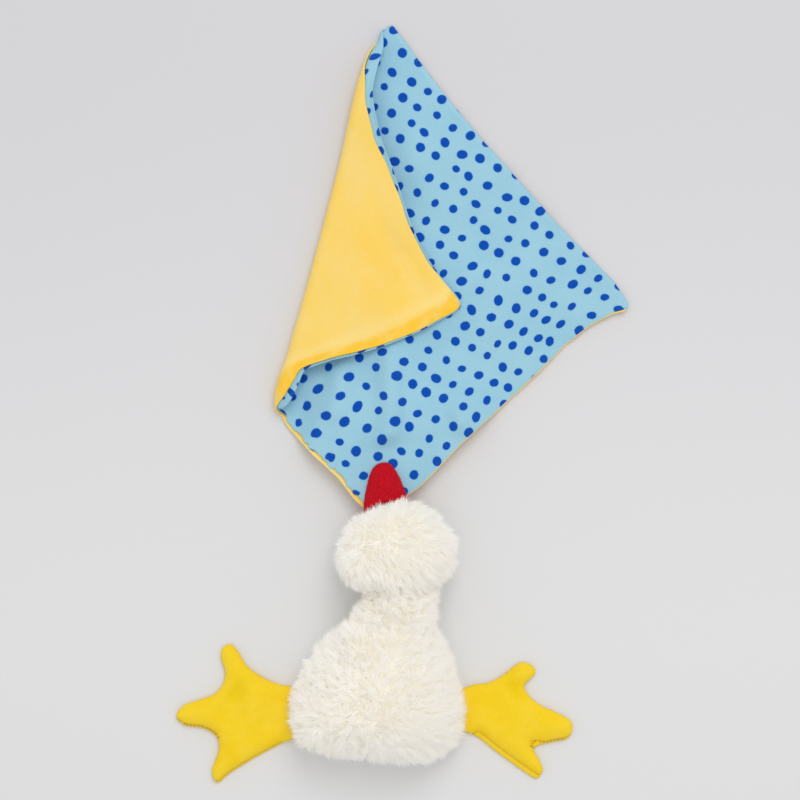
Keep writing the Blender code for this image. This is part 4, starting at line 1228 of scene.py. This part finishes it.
def jersey_layer():
    """The jersey, which curls up round the flap's edges and stops short of the velour's rim."""
    def rim(share):
        width = RIM_WIDTH + sum(height * np.sin(share * pitch) for height, pitch in RIM_WAVES)
        return ramp(share, 0.585, 0.03) * width

    def left_wrap(share):
        return 0.9 * (1 - ramp(share, 0.90, 0.06))

    def lower_wrap(share):
        return (1 - ramp(share, 0.56, 0.05)) * 0.9 * ramp(share, 0.03, 0.06)

    return cloth_layer(
        1, JERSEY_THICK,
        {"top": constant(0.0), "left": constant(0.0), "right": constant(RIGHT_INSET), "lower": rim},
        {"top": constant(1.0), "left": left_wrap, "right": constant(0.0), "lower": lower_wrap})


def velour_layer():
    """The velour, which leaves a border of jersey round the flap."""
    def left_inset(share):
        return read_table(LEFT_PEEPING, share) + 0.0003 * np.sin(share * 47)

    def lower_inset(share):
        return read_table(LOWER_PEEPING, share)

    return cloth_layer(
        -1, VELOUR_THICK,
        {"top": constant(TOP_INSET), "left": left_inset, "right": constant(0.0), "lower": lower_inset},
        {"top": constant(0.0), "left": constant(0.0), "right": constant(0.75),
         "lower": lambda share: ramp(share, 0.585, 0.03)})


def cloth():
    """Both layers: the jersey shows round the flap's edge, the velour round the lying cloth's."""
    for name, layer, finish, slot_name in (("jersey", jersey_layer(), JERSEY, "jersey"),
                                           ("velour", velour_layer(), CLOTH_VELOUR, "cloth_velour")):
        parts = split_layer(name, layer, finish)
        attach(parts["lying"], "cloth")
        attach(parts["roll"], "cloth")
        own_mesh(parts["roll"])
        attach(parts["flap"], "cloth_flap")
        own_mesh(parts["flap"])
        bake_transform(parts["held"])
        for part, flat, held, node in CLOTH_PARTS:
            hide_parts(node + name)


# Beak and eyes
# Distances ahead of the neck: where the beak starts, and the part of it that is drawn back
BEAK_START = 0.060
BEAK_LENGTH = 0.031
BEAK_BASE = 0.066
BASE_STRETCH = 0.8
BEAK_CELL = 0.0006
# How the beak is widened and moved aside, and how far its tip goes the other way
BEAK_WIDEN_SHARE = 0.05
BEAK_ASIDE = 0.0019
TIP_ASIDE = 0.0023
BEAK_PIECES = (("upper_beak", "beak_top", 40), ("lower_beak", "beak_bottom", 41))


def beak():
    """The felt beak with its short fuzz. Its base goes on back, under the pile."""
    for node, name, seed in BEAK_PIECES:
        piece = softened((node,), name, BEAK_CELL, 12)
        dress(piece, FELT)
        piece.data.shade_smooth()
        points = points_of(piece.data)
        ahead = (points - NECK) @ HEAD_FORWARD
        side = (points - NECK) @ HEAD_RIGHT
        to_tip = np.clip((ahead - BEAK_START) / BEAK_LENGTH, -0.3, 1)
        points += np.outer(side * BEAK_WIDEN_SHARE - BEAK_ASIDE + TIP_ASIDE * to_tip, HEAD_RIGHT)
        points -= np.outer(np.clip(BEAK_BASE - ahead, 0, None) * BASE_STRETCH, HEAD_FORWARD)
        set_points(piece.data, points)
        store(piece.data, "comb", np.tile(HEAD_FORWARD * 0.4, (len(points), 1)))
        store(piece.data, "trim", np.where(ahead > BEAK_START, 1.0, 0.3))
        fuzz = grow(piece, name + "_fuzz", Density=2.6e6, Length=0.0008, Thickness=0.00004,
                    Lock_Size=0.0015, Lock_Strength=0.1, Lean=1.2, Disorder=1.6, Lowest=0.0003, Bends=4,
                    Seed=seed, Finish=FELT)
        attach(piece, "head")
        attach(fuzz, "head")
        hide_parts(node)


def tube(path, radius, sides=6):
    """Points and faces of a closed round thread along a path."""
    path = np.asarray(path, float)
    points, faces = [], []
    for number, centre in enumerate(path):
        before = path[max(number - 1, 0)]
        after = path[min(number + 1, len(path) - 1)]
        run = (after - before) / (np.linalg.norm(after - before) + 1e-12)
        first = np.cross(run, UP)
        if np.linalg.norm(first) < 0.1:
            first = np.cross(run, (1.0, 0.0, 0.0))
        first /= np.linalg.norm(first)
        second = np.cross(run, first)
        size = radius * (0.5 if number in (0, len(path) - 1) else 1.0)
        for corner in range(sides):
            angle = 2 * pi * corner / sides
            points.append(centre + (first * cos(angle) + second * sin(angle)) * size)
    for number in range(len(path) - 1):
        for corner in range(sides):
            after = (corner + 1) % sides
            faces.append((number * sides + corner, (number + 1) * sides + corner,
                          (number + 1) * sides + after, number * sides + after))
    faces.append(tuple(range(sides)))
    faces.append(tuple(reversed([(len(path) - 1) * sides + corner for corner in range(sides)])))
    return points, faces


def gather(name, tubes, finish):
    """Several tubes as one piece."""
    points, faces = [], []
    for some_points, some_faces in tubes:
        base = len(points)
        points.extend(some_points)
        faces.extend([tuple(base + corner for corner in face) for face in some_faces])
    piece = new_object(name, points, faces, finish)
    face_outwards(piece)
    return piece


EYE_STITCHES = 13
EYE_HALF_WIDTH = 0.0024
EYE_HALF_HEIGHT = 0.0028
EYE_DOME = 0.0009
EYE_DEPTH = 0.0030
EYE_DROP = 0.0010
EYE_THREAD_RADIUS = 0.00026
EYE_SUNK = 0.0004


def eyes():
    """Small satin-stitched ovals on the sides of the head."""
    middle = EYE_STITCHES // 2
    for name in EYES:
        outward = (EYES[name] - HEAD_MIDDLE) * (1, 1, 0)
        outward /= np.linalg.norm(outward)
        centre = EYES[name] - outward * EYE_DEPTH - UP * EYE_DROP
        lengthways = np.cross(UP, outward)
        threads = []
        for number in range(EYE_STITCHES):
            offset = (number - middle) / (middle * 1.1)
            half = EYE_HALF_HEIGHT * np.sqrt(1 - offset * offset)
            path = []
            for share in np.linspace(-1, 1, 9):
                dome = EYE_DOME * (1 - share * share) * (1 - 0.6 * offset * offset)
                path.append(centre + lengthways * offset * EYE_HALF_WIDTH + UP * half * share
                            + outward * (dome - EYE_SUNK))
            threads.append(tube(path, EYE_THREAD_RADIUS))
        piece = gather(name + "_stitches", threads, EYE_THREAD)
        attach(piece, "head")
        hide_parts(name)


# Feet
# Each outline in shares of the foot's reach and spread, from the root round the toes and back
LEFT_OUTLINE_SHARES = (
    (-0.110, 0.150), (-0.050, 0.178), (0.000, 0.188), (0.050, 0.192), (0.207, 0.246), (0.348, 0.326),
    (0.436, 0.435), (0.507, 0.486), (0.577, 0.457), (0.590, 0.390), (0.553, 0.290), (0.570, 0.205),
    (0.645, 0.130), (0.771, 0.087), (0.930, 0.043), (1.000, -0.036), (0.930, -0.101), (0.762, -0.123),
    (0.650, -0.170), (0.607, -0.246), (0.635, -0.341), (0.674, -0.428), (0.648, -0.507), (0.600, -0.512),
    (0.507, -0.449), (0.304, -0.348), (0.119, -0.268), (0.050, -0.240), (0.000, -0.220), (-0.050, -0.206),
    (-0.110, -0.180),
)
RIGHT_OUTLINE_SHARES = (
    (-0.110, 0.150), (-0.050, 0.178), (0.000, 0.190), (0.050, 0.205), (0.192, 0.224), (0.333, 0.293),
    (0.427, 0.362), (0.512, 0.396), (0.603, 0.370), (0.638, 0.322), (0.616, 0.277), (0.530, 0.195),
    (0.586, 0.098), (0.695, 0.024), (0.855, -0.041), (0.968, -0.099), (1.000, -0.162), (0.960, -0.256),
    (0.812, -0.290), (0.680, -0.318), (0.624, -0.354), (0.673, -0.444), (0.710, -0.528), (0.662, -0.603),
    (0.596, -0.586), (0.427, -0.483), (0.239, -0.362), (0.108, -0.267), (0.050, -0.238), (0.000, -0.215),
    (-0.050, -0.200), (-0.110, -0.175),
)
OUTLINE_SPACING = 0.0011
# The foot's mesh: triangles of this size inside, and rings of points close to the outline
FOOT_CELL = 0.0013
ROW_SHARE = 0.866
RINGS = (0.0002, 0.0005, 0.0010, 0.0017, 0.0026)
GRID_START = 0.0032
# Heights: the upper's underside, its rim, its crown, its waves and its hollow, then the sole's
UPPER_LOW = 0.0012
UPPER_RIM = 0.0018
CROWN = 0.0066
CROWN_REACH = 0.0085
FOOT_WAVES = (0.026, 31)
FOOT_WAVE_HEIGHT = 0.0006
HOLLOW_DEPTH = 0.0024
SOLE_LOW = 0.0002
SOLE_RIM = 0.0004
SOLE_HEIGHT = 0.0026
SOLE_REACH = 0.0020
# How far the sole shows at the outer toe, and the seam beside it
TOE_SOLE_WIDTH = 0.0012
SEAM_WIDTH = 0.0006
STITCH_RADIUS = 0.00020


def smooth_outline(corners, spacing):
    """A closed line: smooth through the corners, and straight from the last one back to the first."""
    corners = np.asarray(corners, float)
    padded = np.concatenate(([2 * corners[0] - corners[1]], corners, [2 * corners[-1] - corners[-2]]))
    line = []
    for p0, p1, p2, p3 in zip(padded, padded[1:], padded[2:], padded[3:]):
        steps = max(2, round(np.linalg.norm(p2 - p1) / spacing))
        for share in np.arange(steps) / steps:
            line.append(0.5 * (2 * p1 + (p2 - p0) * share + (2 * p0 - 5 * p1 + 4 * p2 - p3) * share ** 2
                               + (3 * p1 - p0 - 3 * p2 + p3) * share ** 3))
    steps = round(np.linalg.norm(corners[0] - corners[-1]) / spacing)
    for share in np.arange(steps) / steps:
        line.append(corners[-1] + (corners[0] - corners[-1]) * share)
    return np.array(line)


def distance_to_line(points, line):
    """Each point's distance to a closed line, and the place on the line that is nearest."""
    after = np.roll(line, -1, axis=0)
    run = after - line
    best = np.full(len(points), 1e9)
    nearest = np.zeros(len(points), int)
    for number in range(len(line)):
        offset = points - line[number]
        share = np.clip(offset @ run[number] / (run[number] @ run[number] + 1e-15), 0, 1)
        gap = np.linalg.norm(offset - share[:, None] * run[number], axis=1)
        closer = gap < best
        best[closer] = gap[closer]
        nearest[closer] = number
    return best, nearest


def inside_line(points, line):
    x, y = points[:, 0], points[:, 1]
    result = np.zeros(len(points), bool)
    for (x1, y1), (x2, y2) in zip(line, np.roll(line, -1, axis=0)):
        crosses = (y1 > y) != (y2 > y)
        with np.errstate(divide="ignore", invalid="ignore"):
            at = (x2 - x1) * (y - y1) / (y2 - y1) + x1
        result ^= crosses & (x < at)
    return result


def filled_outline(line, cell):
    """A fine triangle mesh inside a closed line: points, triangles and distances to the line."""
    low, high = line.min(axis=0), line.max(axis=0)
    grid = []
    row = 0
    y = low[1]
    while y < high[1]:
        shift = cell / 2 if row % 2 else 0
        grid.extend((x, y) for x in np.arange(low[0] + shift, high[0], cell))
        y += cell * ROW_SHARE
        row += 1
    grid = np.array(grid)
    grid = grid[inside_line(grid, line)]
    rings = []
    outward = outline_normals(line)
    for inset in RINGS:
        ring = line - outward * inset
        gap, _ = distance_to_line(ring, line)
        rings.append(ring[(gap > inset * 0.93) & inside_line(ring, line)])
    gap, _ = distance_to_line(grid, line)
    points = np.concatenate([line] + rings + [grid[gap > GRID_START]])
    edges = [(i, (i + 1) % len(line)) for i in range(len(line))]
    found, _, faces, _, _, _ = delaunay_2d_cdt([Vector(p) for p in points], edges, [], 1, 1e-6)
    found = np.array([tuple(p) for p in found])
    gap, nearest = distance_to_line(found, line)
    gap[: len(line)] = 0
    return found, [tuple(f) for f in faces], gap, nearest


def outline_normals(line):
    run = np.roll(line, -1, axis=0) - np.roll(line, 1, axis=0)
    run /= np.linalg.norm(run, axis=1, keepdims=True)
    normals = np.stack((run[:, 1], -run[:, 0]), 1)
    area = np.sum(line[:, 0] * np.roll(line[:, 1], -1) - np.roll(line[:, 0], -1) * line[:, 1])
    return normals if area > 0 else -normals


def pillow(name, line, low, top_of, finish, origin):
    """A closed cushion over an outline: a flat underside at low and a top from a function.

    Also gives, for each of its points, the distance to the outline and the outline's nearest point.
    """
    flat, faces, gap, nearest = filled_outline(line, FOOT_CELL)
    count = len(flat)
    upper = np.column_stack((flat, top_of(flat, gap)))
    lower = np.column_stack((flat, np.full(count, low)))
    every = list(faces)
    every += [tuple(count + corner for corner in reversed(face)) for face in faces]
    every += [(b, a, count + a, count + b) for a, b in open_edges(faces)]
    piece = new_object(name, np.concatenate((upper, lower)) + origin, every, finish)
    face_outwards(piece)
    return piece, np.concatenate((gap, gap)), np.concatenate((nearest, nearest))


def foot(side, root, reach, spread, shares, sole_width, hollow, hollow_turn, hollow_reach):
    """One padded foot: a velour top, a sole that shows along the lower edge, and closing stitches. Its
    root goes on under the pile, into the body's seam."""
    direction = -1 if side == "left" else 1
    corners = [(direction * a * reach, b * spread) for a, b in shares]
    line = smooth_outline(corners, OUTLINE_SPACING)
    if direction > 0:
        line = line[::-1]
    outward = outline_normals(line)
    out_share, up_share = direction * line[:, 0] / reach, line[:, 1] / spread
    facing_down = ramp(-outward[:, 1], 0.25, 0.5)
    inner_edge = (1 - ramp(out_share, 0.62, 0.12)) * (up_share < -0.19)
    toe_edge = ramp(out_share, 0.60, 0.05) * (up_share > -0.40) * (up_share < -0.02)
    at_root = ramp(out_share, 0, 0.06)
    showing = facing_down * at_root * (inner_edge * sole_width + toe_edge * TOE_SOLE_WIDTH)
    top_line = line - outward * showing[:, None]
    sole_line = line - outward * SEAM_WIDTH * (1 - np.clip(showing / 0.0008, 0, 1))[:, None]
    hollow_run = np.array((direction * cos(hollow_turn), sin(hollow_turn)))
    hollow_across = np.array((-hollow_run[1], hollow_run[0]))

    def in_hollow(flat):
        away = flat - (direction * hollow[0], hollow[1])
        return bell(away @ hollow_run, hollow_reach[0]) * bell(away @ hollow_across, hollow_reach[1])

    def upper_top(flat, gap):
        shape = np.clip(gap / CROWN_REACH, 0, 1)
        near_root = ramp(direction * flat[:, 0], 0, 0.012)
        top = UPPER_RIM + (CROWN - UPPER_RIM) * round_edge(gap, CROWN_REACH) * (0.72 + 0.28 * near_root)
        top = top + FOOT_WAVE_HEIGHT * ripples(flat[:, 0], flat[:, 1], *FOOT_WAVES) * shape
        return top - HOLLOW_DEPTH * in_hollow(flat) * shape

    def sole_top(flat, gap):
        return SOLE_RIM + SOLE_HEIGHT * round_edge(gap, SOLE_REACH)

    origin = np.array((root[0], root[1], 0.0))
    upper, gap, nearest = pillow(side + "_foot_top", top_line, UPPER_LOW, upper_top, FOOT_VELOUR, origin)
    sewn = np.clip(showing / 0.0010, 0, 1)[nearest]
    store(upper.data, "seam", bell(gap, SEAM_WIDTH) * sewn)
    # Painted shade in the foot's hollow, for the finish to darken it
    store(upper.data, "painted_hollow_shade", in_hollow(points_of(upper.data)[:, :2] - origin[:2]))
    sole, gap, nearest = pillow(side + "_foot_underside", sole_line, SOLE_LOW, sole_top, FOOT_VELOUR, origin)
    store(sole.data, "seam", ramp(gap - showing[nearest], -SEAM_WIDTH, SEAM_WIDTH) * 0.8)
    threads = []
    for number in range(0, len(top_line), 2):
        spot = top_line[number]
        if toe_edge[number] < 0.5 or facing_down[number] < 0.5 or out_share[number] > 0.93:
            continue
        outer = spot + outward[number] * 0.0009
        inner = spot - outward[number] * 0.0008
        path = [(*outer, 0.0026), (*((outer + spot) / 2), 0.0034), (*spot, 0.0037), (*inner, 0.0040)]
        threads.append(tube(np.array(path) + origin, STITCH_RADIUS, 5))
    stitches = gather(side + "_foot_stitches", threads, SEAM_THREAD)
    body = side + "_foot"
    for piece in (upper, sole):
        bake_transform(piece)
    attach(stitches, body)
    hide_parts(side + "_foot_upper", side + "_foot_wadding", side + "_foot_root")
    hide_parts(side + "_foot_sole")


# Floor, light and camera
FLOOR_HALF = 3.0
WORLD_STRENGTH = 0.73
# Each lamp's name, place, target, width and power
LAMPS = (("window", (0.35, 1.25, 1.70), (0.0, 0.15, 0.0), 1.2, 11.0),
         ("ceiling", (0.05, 0.10, 2.2), (0.0, 0.17, 0.0), 1.6, 3.7))
# Light finds its way through white pile only after many turns
BOUNCES = 32
# The camera looks straight down, and sees this width at the floor
CAMERA_PLACE = (0.012, 0.174, 1.5)
VIEW_WIDTH = 0.480
SENSOR = 36.0


def floor():
    half = FLOOR_HALF
    piece = new_object("floor", [(-half, -half, 0), (half, -half, 0), (half, half, 0), (-half, half, 0)],
                       [(0, 1, 2, 3)], floor_finish())


def lamp(name, place, target, size, power):
    light = bpy.data.lights.new(name, "AREA")
    light.shape = "DISK"
    light.size = size
    light.energy = power
    item = linked(name, light)
    item.location = place
    item.rotation_euler = (Vector(target) - Vector(place)).to_track_quat("-Z", "Y").to_euler()


def studio():
    world = bpy.data.worlds.new("soft_studio")
    SCENE.world = world
    world.use_nodes = True
    background = world.node_tree.nodes["Background"]
    background.inputs["Color"].default_value = (1.0, 1.0, 1.0, 1.0)
    background.inputs["Strength"].default_value = WORLD_STRENGTH
    for row in LAMPS:
        lamp(*row)
    SCENE.view_settings.view_transform = "Standard"
    SCENE.cycles.max_bounces = BOUNCES
    SCENE.cycles.diffuse_bounces = BOUNCES


def camera():
    lens = bpy.data.cameras.new("above")
    lens.sensor_width = SENSOR
    lens.lens = SENSOR * CAMERA_PLACE[2] / VIEW_WIDTH
    lens.clip_start = 0.01
    item = linked("above", lens)
    item.location = CAMERA_PLACE
    SCENE.camera = item


plush_duck()
cloth()
beak()
eyes()
foot("left", root=(-0.0566175, -0.0126), reach=0.0655, spread=0.0828, shares=LEFT_OUTLINE_SHARES,
     sole_width=0.0011, hollow=(0.0290, 0.0115), hollow_turn=radians(125), hollow_reach=(0.0085, 0.0050))
foot("right", root=(0.053796, -0.0108), reach=0.0617, spread=0.0696, shares=RIGHT_OUTLINE_SHARES,
     sole_width=0.0030, hollow=(0.0262, 0.0122), hollow_turn=radians(118), hollow_reach=(0.0080, 0.0045))
floor()
studio()
camera()
